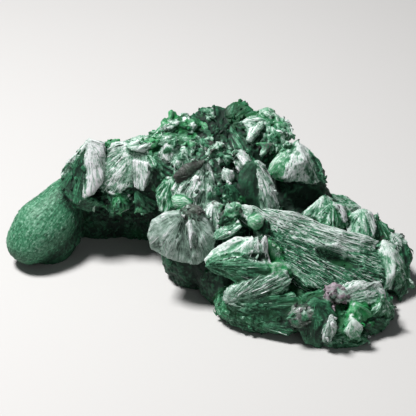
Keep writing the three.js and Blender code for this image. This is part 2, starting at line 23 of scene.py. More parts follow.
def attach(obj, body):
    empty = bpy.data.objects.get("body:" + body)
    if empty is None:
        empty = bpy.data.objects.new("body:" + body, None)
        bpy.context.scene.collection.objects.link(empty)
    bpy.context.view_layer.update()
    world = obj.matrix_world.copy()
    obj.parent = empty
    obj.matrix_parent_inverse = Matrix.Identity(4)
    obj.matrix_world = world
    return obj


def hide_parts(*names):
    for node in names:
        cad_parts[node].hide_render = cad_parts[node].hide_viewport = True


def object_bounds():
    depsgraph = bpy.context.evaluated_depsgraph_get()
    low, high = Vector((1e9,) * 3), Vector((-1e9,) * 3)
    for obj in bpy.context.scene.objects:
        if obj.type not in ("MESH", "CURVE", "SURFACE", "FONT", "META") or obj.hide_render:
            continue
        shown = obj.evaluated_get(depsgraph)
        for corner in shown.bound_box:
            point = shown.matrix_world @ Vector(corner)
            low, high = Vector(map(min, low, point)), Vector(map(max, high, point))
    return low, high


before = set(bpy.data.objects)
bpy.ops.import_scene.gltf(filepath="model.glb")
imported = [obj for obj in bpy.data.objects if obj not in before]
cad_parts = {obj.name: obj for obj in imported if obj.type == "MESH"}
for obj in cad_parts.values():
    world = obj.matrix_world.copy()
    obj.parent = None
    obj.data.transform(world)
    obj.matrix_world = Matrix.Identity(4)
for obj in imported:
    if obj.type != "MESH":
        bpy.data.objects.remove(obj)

CAD_BOX = [list(corner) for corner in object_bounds()]
NODE = "malachite"
PIECE = "malachite_body"
BODY = "root"
TRIANGLE_LIMIT = 196000

Point = tuple[float, float, float]


# ----------------------------------------------------------------------------------------------------------
# Finishes: how each kind of surface on the specimen stands out and what it looks like
# ----------------------------------------------------------------------------------------------------------


@dataclass(frozen=True)
class Skin:
    """The surface of a block or a lobe.

    Heights, widths and lengths are in millimetres. `pale` runs from 0, nearly black green, to 1, silvery
    silk, whose paleness is partly the fibres' own colour and partly a painted silky sheen, and `contrast` is
    how far the fibres differ. `moss` is how strong the pure green is, `rust` how much brown and plum matrix
    stains the surface, and `pink_sheen` how pink its silk is, a painted pinkish sheen. `silk` and `flakes`
    are how many loose fibres and flakes lie on each square millimetre.
    """

    rib: float = 0.18
    rib_width: float = 1.4
    fibre: float = 0.08
    fibre_width: float = 0.4
    grain: float = 0.04
    grain_size: float = 0.7
    facet: float = 0.35
    facet_size: float = 2.6
    pale: float = 0.5
    contrast: float = 0.5
    moss: float = 0.1
    rust: float = 0.0
    pink_sheen: float = 0.0
    silk: float = 2.0
    silk_length: float = 2.6
    flakes: float = 0.0


SILK = Skin(rib=0.14, pale=0.68, contrast=0.75, pink_sheen=0.1, silk=3.0)
SHEAF = Skin(rib=0.16, facet=0.65, facet_size=3.4, pale=0.58, contrast=0.75, moss=0.25, silk=2.4)
SILVER = Skin(rib=0.12, grain=0.05, pale=0.68, contrast=0.85, moss=0.05, pink_sheen=0.2, silk=3.0, flakes=0.1)
BLUSH = Skin(
    rib=0.1, fibre=0.1, grain=0.05, pale=0.74, contrast=0.8, moss=0.0, pink_sheen=0.35, silk=3.4,
    silk_length=2.0,
)
PEARL = Skin(
    rib=0.06, rib_width=1.0, fibre=0.06, fibre_width=0.4, facet=0.08, pale=0.8, contrast=0.75, moss=0.0,
    pink_sheen=0.35, silk=3.0, silk_length=2.2,
)
FALL = Skin(
    rib=0.07, rib_width=1.2, fibre=0.06, fibre_width=0.4, facet=0.08, pale=0.84, contrast=0.65, moss=0.3,
    pink_sheen=0.1, silk=3.2, silk_length=3.0,
)
SCALLOP = Skin(
    rib=0.06, rib_width=0.9, fibre=0.04, fibre_width=0.36, facet=0.06, pale=0.54, contrast=0.36, moss=0.05,
    rust=0.1, pink_sheen=0.35, silk=2.2,
)
FIELD = Skin(
    rib=0.09, rib_width=0.8, fibre=0.09, fibre_width=0.28, facet=0.1, pale=0.9, contrast=0.8, moss=0.05,
    silk=5.0, silk_length=4.2,
)
MEADOW = Skin(
    rib=0.1, rib_width=0.8, fibre=0.09, fibre_width=0.28, facet=0.1, pale=0.5, contrast=0.95, moss=0.05,
    silk=5.0, silk_length=3.6,
)
MINT = Skin(rib=0.05, fibre=0.05, grain=0.08, pale=0.62, contrast=0.5, moss=0.8, silk=1.4, silk_length=1.5)
JADE = Skin(
    rib=0.1, rib_width=1.3, fibre=0.06, facet=0.2, pale=0.84, contrast=0.5, moss=0.45, silk=1.4,
    silk_length=1.8,
)
MINTSILK = Skin(
    rib=0.13, rib_width=1.0, fibre_width=0.34, pale=0.84, contrast=0.65, moss=0.15, pink_sheen=0.1, silk=2.4,
)
VELVET = Skin(
    rib=0.0, rib_width=5.0, fibre=0.04, grain=0.1, grain_size=0.5, facet=0.0, pale=0.38, contrast=0.3,
    moss=0.15, silk=5.0, silk_length=0.9,
)
# A darker copy of VELVET for the foot's lower side: painted shade.
VELVET_IN_SHADE = Skin(
    rib=0.0, rib_width=5.0, fibre=0.04, grain=0.14, grain_size=0.55, facet=0.0, pale=0.16, contrast=0.25,
    moss=0.1, silk=3.0, silk_length=0.9,
)
SAGE = Skin(rib=0.14, fibre=0.07, facet=0.2, pale=0.66, contrast=0.5, moss=0.15, silk=1.8, silk_length=1.8)
LEAFY = Skin(rib=0.22, rib_width=1.3, fibre=0.1, pale=0.55, contrast=0.7, moss=0.5, silk=1.6, flakes=0.16)
EMERALD = Skin(
    rib=0.18, rib_width=1.4, grain=0.06, pale=0.0, contrast=0.75, moss=0.5, silk=1.4, silk_length=1.6,
    flakes=0.25,
)
MOSSY = Skin(rib=0.2, grain=0.16, grain_size=0.9, pale=0.46, contrast=0.6, moss=0.95, silk=1.4, flakes=0.2)
DUSK = Skin(rib=0.15, fibre=0.07, grain=0.08, pale=0.27, contrast=0.6, moss=0.3, silk=1.4, flakes=0.15)
DARK = Skin(
    rib=0.15, fibre=0.05, grain=0.12, pale=0.12, contrast=0.5, moss=0.2, silk=1.2, silk_length=1.6,
    flakes=0.2,
)
# Near black: a painted shade where it lines recesses and the underside under the shell.
BLACK = Skin(rib=0.15, fibre=0.05, grain=0.1, pale=0.0, contrast=0.2, moss=0.1, silk=0.5, flakes=0.04)
SHADED = Skin(
    rib=0.08, fibre=0.06, grain=0.07, facet=0.1, pale=0.1, contrast=0.7, moss=0.25, silk=0.9,
    silk_length=1.2, flakes=0.12,
)
GLOSS = Skin(rib=0.06, fibre=0.05, facet=0.05, pale=0.0, contrast=0.12, moss=0.2, silk=0.4)
SMOOTH = Skin(rib=0.08, fibre=0.05, facet=0.05, pale=0.22, contrast=0.3, moss=0.1, silk=1.8)
STRIPED = Skin(
    rib=0.2, rib_width=1.2, fibre_width=0.34, facet=0.15, pale=0.3, contrast=0.55, moss=0.25, silk=1.2,
    silk_length=4.0,
)
PALESTRIPE = Skin(
    rib=0.16, rib_width=1.0, fibre_width=0.34, pale=0.58, contrast=0.8, moss=0.25, pink_sheen=0.1, silk=2.0,
    silk_length=4.0,
)
GRAINY = Skin(
    rib=0.15, grain=0.22, grain_size=0.9, pale=0.64, contrast=0.7, moss=0.4, silk=0.8, silk_length=1.4,
    flakes=0.9,
)
GRANULAR = Skin(
    rib=0.1, grain=0.18, grain_size=0.8, pale=0.22, contrast=0.8, moss=0.2, silk=0.8, silk_length=1.2,
    flakes=0.7,
)
RUSTY = Skin(rib=0.15, grain=0.1, pale=0.25, contrast=0.4, moss=0.0, rust=0.8, silk=0.6, flakes=0.2)
PLUM = Skin(rib=0.15, grain=0.08, pale=0.08, contrast=0.6, moss=0.1, rust=0.65, silk=0.8, flakes=0.2)
ROSY = Skin(
    rib=0.1, rib_width=1.0, grain=0.1, pale=0.46, contrast=0.7, moss=0.1, rust=0.6, silk=1.6, flakes=0.4,
)
UMBER = Skin(rib=0.05, fibre=0.05, facet=0.05, pale=0.0, contrast=0.4, moss=0.0, rust=0.65, silk=0.9)
PINK = Skin(
    rib=0.12, grain=0.16, grain_size=1.0, facet=0.4, facet_size=1.6, pale=0.78, contrast=0.7, moss=0.1,
    rust=0.85, silk=1.2, silk_length=1.2, flakes=0.5,
)
ROUGH = Skin(
    rib=0.3, rib_width=2.0, grain=0.15, grain_size=1.2, pale=0.36, contrast=0.6, moss=0.3, rust=0.05,
    flakes=0.12,
)
# Near black: a painted shade on the wall at the back of the hollow under the ridge.
PIT = Skin(
    rib=0.25, rib_width=1.6, grain=0.15, grain_size=1.2, pale=0.0, contrast=0.3, moss=0.1, silk=0.6,
    flakes=0.15,
)


# ----------------------------------------------------------------------------------------------------------
# The layout
# ----------------------------------------------------------------------------------------------------------


class Habit(Enum):
    """How a lobe fills its length, and how many sides and rings it is modelled with.

    The numbers are where it is widest, as a share of its length, how blunt its ends are (0.5 is an ellipse
    and 1 has pointed ends), its sides and its rings.
    """

    DROP = (0.72, 0.42, 28, 18)
    SPRAY = (0.66, 0.72, 7, 5)
    SHELL = (0.6, 0.5, 12, 7)
    EGG = (0.6, 0.55, 24, 14)
    KNOB = (0.52, 0.5, 6, 4)
    LEAF = (0.5, 0.85, 6, 5)
    SHARD = (0.55, 0.6, 5, 4)

    @property
    def widest(self) -> float:
        """Where along the lobe it is widest."""
        return self.value[0]

    @property
    def fullness(self) -> float:
        """The power that bends the outline."""
        return self.value[1]

    @property
    def sides(self) -> int:
        """How many sides it has around its length."""
        return self.value[2]

    @property
    def rings(self) -> int:
        """How many rings of faces it has along its length."""
        return self.value[3]


DROP, SPRAY, SHELL, EGG = Habit.DROP, Habit.SPRAY, Habit.SHELL, Habit.EGG
KNOB, LEAF, SHARD = Habit.KNOB, Habit.LEAF, Habit.SHARD


@dataclass(frozen=True)
class Lobe:
    """One rounded bundle of fibres from its root to its tip, `width` across and `depth` thick."""

    name: str
    habit: Habit
    root: Point
    tip: Point
    width: float
    depth: float
    skin: Skin

    @property
    def length(self) -> float:
        """How far the fibres run."""
        return math.dist(self.root, self.tip)


@dataclass(frozen=True)
class Region:
    """Lobes that turn their broad sides the same way."""

    faces: Point
    lobes: tuple[Lobe, ...]


@dataclass(frozen=True)
class Block:
    """One fan or leaf of fibres with flat faces and sharp edges.

    `corners` go round its front, which rises by `crown` in the middle, and it reaches `depth` back into the
    specimen. Its fibres start at its first corner, or at `start` where that is another place.
    """

    name: str
    crown: float
    depth: float
    skin: Skin
    corners: tuple[Point, ...]
    start: Point | None = None

    @property
    def root(self) -> Point:
        """Where the fibres start."""
        return self.start or self.corners[0]

    @property
    def length(self) -> float:
        """How far the fibres run."""
        return max(math.dist(self.root, corner) for corner in self.corners) * 0.8


@dataclass(frozen=True)
class Lump:
    """A rounded lump of the rough heart."""

    middle: Point
    half_sizes: Point
    skin: Skin

    @property
    def root(self) -> Point:
        """Where its fibres start."""
        return self.middle

    @property
    def length(self) -> float:
        """How far its fibres run."""
        return max(self.half_sizes)


HEART = (
    Lump((17, -7, 3.5), (17, 12, 6), DUSK),
    Lump((13, -16, 3), (12, 8, 5), DUSK),
    Lump((27, -16, 2), (9, 7, 4), DUSK),
    Lump((4, 0, 10), (11, 11, 10.5), DUSK),
    Lump((2, 3, 17.5), (10, 7.5, 8), DUSK),
    Lump((31, -3, 5), (8, 6, 5), DUSK),
    Lump((6, 9, 18), (10, 6, 8), DUSK),
    Lump((-8, 7, 18), (8, 5.5, 7), DUSK),
    Lump((-19, 8, 18), (7, 3.5, 5), DARK),
    # Black behind the grotto: painted shade in the recess.
    Lump((17, 5, 11), (8.5, 6, 8), BLACK),
    Lump((8, 13, 8), (17, 8, 9), ROUGH),
    # Painted shade: the black lumps under the shell and the near-black wall at the back of the hollow under
    # the ridge, where the underside lies in shade.
    Lump((-2, -3.5, 5), (7.5, 6, 8), BLACK),
    Lump((5, -9.5, 3.5), (7, 6.5, 6.5), BLACK),
    Lump((-8, 13, 3), (8, 6.5, 14), PIT),
    Lump((-15.5, 13.5, 4), (6, 5, 13), PIT),
    Lump((-22.5, 14, 3), (7, 5.5, 14), PIT),
)

REGIONS = (
    Region(
        (-0.5, -0.6, 0.6),
        (
            Lobe("foot", DROP, (-21.2, 15, 18.2), (-39.2, -2.4, 2.8), 11.4, 11, VELVET),
            Lobe("foot_edge", EGG, (-28, 9.5, 14.5), (-40.6, 2, 4), 5.5, 7, VELVET),
            Lobe("foot_heel", EGG, (-26, 9, 7), (-34.5, 0.3, -0.5), 8, 8.5, VELVET_IN_SHADE),
        ),
    ),
    Region(
        (0, 0.8, 0.5),
        (
            Lobe("back_ridge", SHELL, (-20, 7, 24), (-24, 13, 14), 11, 6, SHEAF),
            Lobe("back_brow", SHELL, (-12, 8.5, 24.6), (-15, 16, 14), 12, 7, SHEAF),
            Lobe("back_fan_a", SHELL, (-3, 11, 28), (-5, 20, 16), 12, 7, SHEAF),
            Lobe("back_fan_b", SHELL, (8, 12, 29), (8, 21, 17), 13, 7, SHEAF),
            Lobe("back_fan_c", SHELL, (14, 9, 23), (16, 16.5, 11), 11, 7, SHEAF),
            Lobe("back_fan_d", SHELL, (23, 4.5, 13), (29, 8.5, 4), 10, 7, SHEAF),
            Lobe("back_low_a", EGG, (-11, 13, 15), (-14, 19, 1), 11, 9, ROUGH),
            Lobe("back_low_g", EGG, (-21, 12, 16), (-24, 16, 1), 11, 8, ROUGH),
            Lobe("back_low_b", SPRAY, (-2, 15, 15), (-4, 21, 2), 11, 8, ROUGH),
            Lobe("back_low_c", EGG, (8, 16, 15), (8, 21.5, 1), 12, 9, ROUGH),
            Lobe("back_low_d", SPRAY, (18, 11, 12), (20, 17, 1), 12, 8, ROUGH),
            Lobe("back_low_e", SPRAY, (27, 5, 9), (30, 9, 1), 10, 8, ROUGH),
            Lobe("back_low_f", SPRAY, (33.5, -1, 8), (35, 3, 1), 8, 7, ROUGH),
        ),
    ),
)

BLOCKS = (
    # ridge
    Block("ridge_left", 0.3, 6, SHADED,
        ((-23.8, 7.8, 25.4), (-30, 6.2, 18.8), (-30, 2.8, 16.4), (-26.4, 0.8, 13.8), (-24.6, 1.4, 15.4)),
    ),
    Block("ridge_rim", 0.1, 1.5, SILVER,
        ((-23.6, 7.4, 26), (-23.2, 6.8, 25.4), (-29.2, 5.2, 18.8), (-30, 5.8, 18), (-30, 5.4, 19.4)),
    ),
    Block("ridge_belly", 0.5, 4, DARK,
        ((-29.8, 3.6, 15.8), (-24.2, 1.4, 15.6), (-20.6, 3.2, 12.4), (-23.2, 2.2, 11.2), (-26.8, 2, 12.4)),
    ),
    Block("ridge_stripe", 0.4, 5, PEARL,
        ((-23.8, 7.2, 25.8), (-20.8, 6.6, 25.6), (-20.6, 5.2, 22), (-21.2, 3.4, 18), (-23.2, 1.6, 15.8),
        (-25, 1.2, 15.6), (-24.8, 4.6, 20.6)),
    ),
    Block("ridge_groove", 0, 5, MOSSY,
        ((-20.8, 7.6, 25), (-19, 7.2, 24.6), (-20.2, 6.6, 20), (-21.4, 5.6, 16), (-21, 7.2, 20.8)),
    ),
    Block("ridge_fall", 0.6, 5, FALL,
        ((-14.6, 4.6, 25), (-17, 5.8, 25.6), (-19.4, 6.4, 25.4), (-20.4, 5.2, 20.8), (-21.8, 4.2, 15.6),
        (-19.2, 3.2, 15.6), (-14.8, 2.2, 17.6), (-11.8, 2.4, 22.8), (-12.2, 3.8, 24.4)),
        (-11.6, 6.6, 27),
    ),
    Block("ridge_right", 0.5, 5, DUSK,
        ((-15.8, 5.4, 25.2), (-11.4, 4.2, 25), (-10.8, 2.6, 22.4), (-11.8, 0.8, 17.8), (-15.2, 3, 17.4)),
    ),
    Block("ridge_patch", 0.3, 2, PEARL,
        ((-14.8, 3.4, 23.2), (-11.8, 2, 23.6), (-11.6, 0.4, 21.4), (-12.8, -0.8, 18.6), (-15.2, 1.6, 17.8)),
        (-13.4, 4.8, 27),
    ),
    Block("ridge_under", 0.5, 5, GRANULAR,
        ((-20.6, 4.2, 16.6), (-17.6, 3.4, 17), (-14.8, 3.4, 17), (-15.8, 3.2, 13.2), (-19.4, 2.2, 11),
        (-22.4, 4, 12)),
    ),
    Block("ridge_nub", 1.2, 4, MOSSY,
        ((-18, 2.8, 15.6), (-20.2, 3.6, 13.6), (-19.6, 2.6, 10.4), (-17.4, 2.2, 10.4), (-15.6, 2.8, 12.6),
        (-16.4, 3, 14.6)),
    ),
    Block("ridge_end", 0.8, 5, DARK,
        ((-14.8, 2.6, 17), (-11.2, 2.4, 18.2), (-10, 1.6, 15.6), (-11.4, 0.8, 12.4), (-14.6, 1.2, 12)),
    ),
    # brow
    Block("brow_plate", 0.3, 6, LEAFY,
        ((-15.8, 4.6, 24.8), (-13.8, 6, 25.8), (-11.2, 7.4, 27), (-8.6, 9.4, 28.4), (-6, 10.6, 28.8),
        (-3.2, 10.4, 28.4), (-0.6, 8.8, 27.6), (-1.6, 5.6, 26), (-6.6, 4.2, 25), (-11.4, 3.2, 23.8)),
        (-16.4, 3.4, 22),
    ),
    Block("brow_leaf_low", 0.3, 2.6, SAGE,
        ((-16.4, 3.8, 26), (-14.2, 5.2, 27.6), (-13.4, 4.2, 27.2), (-14.6, 3.2, 25.6)),
    ),
    Block("brow_leaf_mid", 0.3, 3, SILVER,
        ((-14.6, 3.2, 25.4), (-13.4, 4, 26.4), (-11.2, 4.2, 26.6), (-10.8, 3.6, 26), (-13, 3.2, 25)),
    ),
    Block("brow_leaf_top", 0.5, 1.6, EMERALD,
        ((-9.4, 7.8, 28.6), (-7.2, 9.6, 29.4), (-3.6, 9.6, 29.4), (-0.4, 7.8, 28.2), (-2.6, 6.8, 27.8),
        (-6.4, 7.4, 28.6)),
    ),
    Block("brow_face", 0.6, 5, DUSK,
        ((-11.4, 3, 24), (-6.6, 4, 25.2), (-5.4, 2, 23), (-7, 0, 19.6), (-10.6, 0.6, 17.6),
        (-11.8, 2.2, 20.4)),
    ),
    Block("brow_silver", 0.6, 2.5, BLUSH,
        ((-8.2, 3.8, 27), (-6.2, 3.8, 27), (-6, 3.2, 25.2), (-7.8, 1.8, 23.8), (-9.6, 3, 24.2)),
    ),
    Block("brow_sage", 0.6, 3, SILK,
        ((-5.2, 3.6, 26.6), (-3, 3, 26), (-3.4, 1.6, 24.2), (-5.8, 0.4, 22.8), (-7.6, 1.4, 23.4)),
    ),
    Block("brow_moss", 0.8, 3, LEAFY,
        ((-11.4, 3.4, 24.6), (-9.4, 3, 24), (-8.8, 1, 22), (-10.4, 2, 21), (-11.8, 2, 23.2)),
    ),
    Block("cheek", 0.8, 5, LEAFY,
        ((-7, -0.2, 21.8), (-6.2, -2.6, 19), (-6.8, -3.6, 15.6), (-10, -2, 14.2), (-11.2, 0.2, 16.4),
        (-9.6, 0.8, 20)),
    ),
    # crest
    Block("crest_dark", 1, 6, PIT,
        ((-2.2, 11.8, 29.2), (0, 13.2, 29.8), (2.8, 13.2, 29.8), (3.8, 10.8, 28), (3.4, 5.6, 26),
        (0, 3.8, 25.8), (-2.2, 6.4, 26.4), (-3, 9.2, 28)),
        (0, 5.8, 24),
    ),
    Block("crest_pale", 0.3, 1.5, SILK,
        ((-0.8, 11.6, 30), (1, 12, 30.4), (1.4, 10.2, 29.4), (-0.2, 9.2, 29)),
    ),
    Block("crest_cap", 0.8, 5, EMERALD,
        ((2.6, 12.4, 29.4), (4, 13.4, 30), (5.6, 14.4, 30.4), (7.8, 14, 30), (9.6, 12.2, 28.8),
        (8.8, 10.2, 27.2), (6, 9.6, 27), (3.2, 10.4, 28)),
        (2.8, 9.4, 27),
    ),
    Block("crest_fold", 0.5, 2.5, SILK,
        ((6.4, 9.6, 28.4), (9.4, 11.4, 29), (11.2, 10.2, 28), (8.4, 8.2, 27)),
    ),
    Block("crest_knob", 1, 4, LEAFY,
        ((10, 11.8, 29.6), (11.6, 12.8, 30), (13.4, 12.4, 29.4), (13.8, 11.2, 28), (12, 10.2, 27.2),
        (10.2, 10.6, 28)),
    ),
    Block("crest_grain", 1.2, 6, GRAINY,
        ((10.8, 10.2, 27.4), (14, 12.2, 28.4), (16.6, 11.8, 27.4), (17.4, 9.6, 25.4), (15.6, 6.8, 23.4),
        (12, 5.4, 24), (10, 7.4, 25.8)),
        (12.4, 12.2, 29),
    ),
    Block("crest_leaf", 0.4, 1.8, SILK,
        ((7.6, 5.4, 26.2), (8.2, 7.6, 28), (11, 8.8, 28.6), (10.6, 7.2, 27.2), (9, 5.2, 25.8)),
    ),
    Block("crest_hollow", 0, 5, DUSK,
        ((3.2, 11.2, 27.4), (7.2, 10, 27), (8.6, 7, 25.2), (6.6, 3.8, 24.6), (3.4, 4.8, 25.2)),
    ),
    Block("crest_plum", 0.4, 2, RUSTY,
        ((10.6, 5, 26), (12.2, 5.6, 26), (12.6, 4.4, 24.4), (11, 4, 24.4)),
    ),
    # centre
    Block("pebble_big", 1.2, 3, BLUSH,
        ((5, -0.4, 27.6), (6.6, -0.2, 28), (8.2, -1, 26.8), (8.2, -2.2, 24.8), (6.8, -2.8, 24),
        (5, -2.6, 25)),
    ),
    Block("pebble_mid", 0.3, 2.5, SILVER,
        ((2.8, -4, 25.6), (4.2, -4, 25.6), (5.2, -4.2, 24), (4.4, -4.8, 22.8), (2.6, -4.4, 23.4)),
    ),
    Block("pebble_leaf", 0.6, 2.5, LEAFY,
        ((2.6, -1, 27.2), (4, -0.4, 27.6), (5, -1.4, 26.4), (3.4, -1.8, 25.2), (2.2, -1.2, 26)),
    ),
    Block("pebble_left", 0.7, 2.5, SILK,
        ((-0.2, 2, 27.4), (1.8, 2.8, 28), (3.2, 1.6, 27), (1.8, 0.4, 25.6), (-0.2, 1.2, 26)),
    ),
    Block("purse", 0.9, 4, DARK,
        ((4, -5.6, 24), (6, -5.6, 22.6), (6.4, -6.4, 20), (4.8, -7.2, 17.8), (3, -6.8, 18.4),
        (2.6, -6.2, 21.6)),
    ),
    Block("fan_big", 1.2, 5, SILVER,
        ((-0.2, -1.4, 26.8), (-2.4, -1.6, 25.8), (-5.8, -2, 23), (-7.6, -3.2, 20.4), (-6.4, -4.8, 17.8),
        (-3.6, -6, 16.8), (-0.4, -6.8, 17.6), (1.4, -5.2, 20), (1.6, -3.4, 23)),
    ),
    Block("fan_matrix", 0.5, 1.6, UMBER,
        ((-0.4, -2, 27), (-2.4, -1.4, 26.8), (-4.8, -1.6, 25.6), (-7, -2.6, 23.2), (-6.4, -3.4, 22),
        (-4.6, -3.4, 23), (-2.6, -3, 24.6), (-1, -2.8, 26)),
        (0.4, -8, 25),
    ),
    Block("fan_cavity", 0.2, 1.2, DARK,
        ((1.6, -5, 23.2), (3, -5.2, 21.4), (2.2, -6.2, 18.8), (0.6, -6, 18.4), (0, -5.2, 21)),
    ),
    Block("fan_nub", 1, 3, MINT,
        ((-3, -6.4, 19.6), (-5, -5.8, 20.6), (-7.6, -5, 20.4), (-7, -5.8, 18), (-4.2, -6.8, 18)),
    ),
    Block("fan_knot", 0.6, 2, PLUM,
        ((-5.4, -8.8, 20.6), (-3.4, -8.6, 21.2), (-1.6, -9, 21.2), (-0.4, -10.6, 20.4), (-2, -11.6, 19.4),
        (-4.6, -11.2, 19.6)),
    ),
    Block("hood_left", 0.8, 5, GLOSS,
        ((9.2, -2.8, 27.4), (7.4, -2.8, 26.6), (5.8, -3.8, 24.4), (5.4, -5.4, 21.6), (7.2, -6.4, 18.4),
        (10.4, -7.2, 17.8), (10.4, -5.4, 22), (10, -3.8, 25.2)),
    ),
    Block("hood_right", 0.6, 5, SILVER,
        ((9.2, -3, 27.4), (11, -3.2, 26.6), (12.4, -4, 24), (13.6, -5.4, 20.8), (14, -6.6, 18),
        (10.4, -7.6, 18), (10.2, -5.6, 22.2)),
    ),
    Block("umbrella_left", 0.5, 5, MINT,
        ((17.4, 4.6, 27), (14.8, 4.2, 26), (12.6, 2.6, 23.8), (11.6, 1.4, 20.8), (14.6, 0.6, 19.4),
        (16, 1.4, 23.4)),
    ),
    Block("umbrella_mid", 0.8, 5, MINTSILK,
        ((17.6, 4.2, 27), (16, 1.2, 23.6), (14.8, 0.2, 19.6), (18.6, 0.4, 20), (18.8, 1.6, 24.4)),
    ),
    Block("umbrella_right", 0.6, 5, MINTSILK,
        ((17.8, 4.4, 27.2), (18.8, 1.8, 24.4), (18.8, 0.6, 19.8), (21.4, 1.2, 18.8), (22.8, 2.4, 19),
        (22, 3.8, 22.4), (20, 4.8, 25.2)),
    ),
    Block("umbrella_edge", 0.3, 2, DUSK,
        ((20, 4, 25.6), (22, 2.8, 23), (23, 2.2, 19.8), (23.2, 1, 18.2), (22, 1.8, 19.8)),
    ),
    # A recess in near-black skin: painted shade.
    Block("grotto", 1.5, 5, BLACK,
        ((19, 7, 16.4), (15.2, 4.8, 16.4), (14.2, 2, 15), (15.6, -0.6, 13), (18.4, -1.4, 12.4),
        (21.6, 0.4, 13), (23.8, 3.6, 14.4), (22.2, 4.8, 16)),
    ),
    Block("slope", 0.3, 4, SAGE,
        ((22.8, -1, 18.4), (24.8, -1.2, 17.2), (22.2, -5.4, 15.2), (18.8, -5.6, 15.8), (18.4, -5.2, 16.4)),
    ),
    # rim
    Block("rim_a", 0.8, 5, LEAFY,
        ((24.6, -2.2, 17.2), (27.4, -1.8, 15.8), (28.4, -3, 14.2), (27, -5, 12.4), (24, -6.8, 12.6),
        (21.2, -6.8, 14.4), (22, -4.2, 16.4)),
    ),
    Block("rim_a_edge", 0.2, 1.2, BLUSH,
        ((24.8, -3, 17.6), (26.2, -3.2, 17), (27.6, -4.8, 14.4), (26.8, -5.4, 14.2), (25.6, -4.2, 16)),
    ),
    Block("rim_b", 0.8, 5, SAGE,
        ((30.6, -1.6, 15.4), (32, -2, 15), (33.4, -2.8, 13), (33.6, -5.8, 10.8), (30.4, -7, 10.6),
        (27.6, -5.8, 12.4), (28, -3.6, 14.6)),
    ),
    Block("rim_b_edge", 0.2, 1.2, BLUSH,
        ((31.2, -2.6, 15.8), (32.2, -2.8, 15.4), (33.4, -4.4, 12.8), (33, -6.2, 11.2), (32, -4.8, 13.6)),
    ),
    Block("rim_c", 0.6, 5, DUSK,
        ((33.2, -1.2, 13.6), (35.4, -2, 12), (36.8, -3.4, 10.4), (35.8, -5.6, 9.2), (33.6, -5.6, 10),
        (32.8, -4, 12)),
    ),
    Block("rim_d", 0.7, 4, SILVER,
        ((36, -2.8, 11.4), (38.2, -3.2, 9.8), (39.8, -4.2, 8.4), (38.6, -6.2, 7.2), (36.2, -6.4, 8.8)),
    ),
    Block("rim_e", 0.6, 4, DARK,
        ((38.4, -4, 9.4), (40.4, -4.8, 7.6), (41, -5.8, 5.8), (39.8, -8.2, 5), (38, -7.2, 7)),
    ),
    Block("rim_f", 0.6, 5, DUSK,
        ((39.4, -7.6, 5.8), (40.6, -7.4, 4.6), (40.4, -9.6, 2), (38, -12.2, 0.6), (36.8, -12.4, 2.2)),
    ),
    Block("rim_round", 1.8, 5, JADE,
        ((34.8, -6.2, 10.8), (37.4, -6.2, 9), (39, -7.6, 6.4), (39.2, -9.8, 4.2), (37.2, -12.2, 2.6),
        (34.4, -13.6, 4), (33.6, -10.6, 7), (33.4, -8, 9.6)),
    ),
    # field
    Block("field_upper", 0.6, 6, FIELD,
        ((3.6, -10.2, 21.6), (6.4, -9.8, 21.4), (10.4, -8.6, 20), (17.2, -7.4, 17.8), (25.4, -7.2, 14.4),
        (33.8, -7.2, 11), (32.6, -8.4, 9.6), (26.8, -9.6, 11.6), (21.2, -11, 13.4), (14.8, -11.6, 15.8),
        (8, -11.8, 18.8)),
        (-3.4, -7.4, 22),
    ),
    Block("field_lower", 0.4, 6, MEADOW,
        ((8, -11.2, 18.6), (14.8, -10.6, 15.6), (21.4, -9.8, 12.6), (27.8, -9.4, 10), (34, -7.6, 9.2),
        (37.6, -8.4, 7), (36, -11.8, 5), (29.8, -16, 5.6), (23.4, -18.6, 7.8), (18.8, -20.2, 9.8),
        (17.2, -17, 12.4), (10.6, -14.6, 16.8)),
        (-7.2, -10.4, 22),
    ),
    Block("field_lip", 0.2, 1.6, FIELD,
        ((15.8, -12.2, 16), (21.2, -11.4, 14), (26.6, -10, 12), (30.6, -9.4, 10.4), (26.2, -10.8, 10.6),
        (20.8, -11.6, 12.4)),
        (-3.4, -7.4, 22),
    ),
    # front
    Block("strip", 0.3, 3, SILVER,
        ((1, -7, 20.8), (2.4, -7.2, 20.2), (2.8, -8.6, 18.2), (2, -11, 16), (0.6, -12, 15),
        (-0.4, -9.6, 17.4), (-0.4, -7.2, 19.6)),
    ),
    Block("chip_leaf", 0.4, 2.5, LEAFY,
        ((0.8, -13.8, 16), (2, -12.4, 18), (5.8, -11.6, 19.8), (6.6, -12.6, 19), (4.6, -14, 17.6)),
    ),
    Block("chip_top", 0.4, 2.5, EMERALD,
        ((2, -12.4, 19), (3.2, -10.8, 20.6), (6, -10.4, 21.6), (6.4, -11.4, 20.6), (4, -12.4, 19.2)),
    ),
    Block("chip_knob", 0.8, 2.5, MINT,
        ((7.6, -12.8, 20.6), (9.2, -12, 21), (10.4, -12.4, 20.4), (10.2, -13.4, 19), (8.8, -13.8, 18.4),
        (7.4, -13.4, 19.2)),
    ),
    # A hole in near-black skin: painted shade.
    Block("chip_hole", 0, 1.5, BLACK,
        ((10.2, -11.8, 19.6), (11.6, -11.8, 19), (11.6, -13.2, 17.4), (10.2, -13.2, 17.6)),
    ),
    Block("shell_left", 1.3, 5, SCALLOP,
        ((-3.8, -9.6, 20.4), (-8, -9, 19.6), (-10.8, -9.8, 18), (-12, -10.8, 15.6), (-11.2, -11.6, 12.4),
        (-7.4, -13.2, 11), (-3.4, -14, 10.4)),
    ),
    Block("shell_right", 1.5, 5, SCALLOP,
        ((-4.2, -9.8, 20.4), (-1.2, -10.6, 20), (1, -11.4, 17.8), (1.6, -12.8, 15.2), (0.8, -13.6, 12.4),
        (-2, -14.2, 10.4), (-4, -14, 10.4)),
    ),
    Block("shell_stripe", 0.1, 2.2, BLUSH,
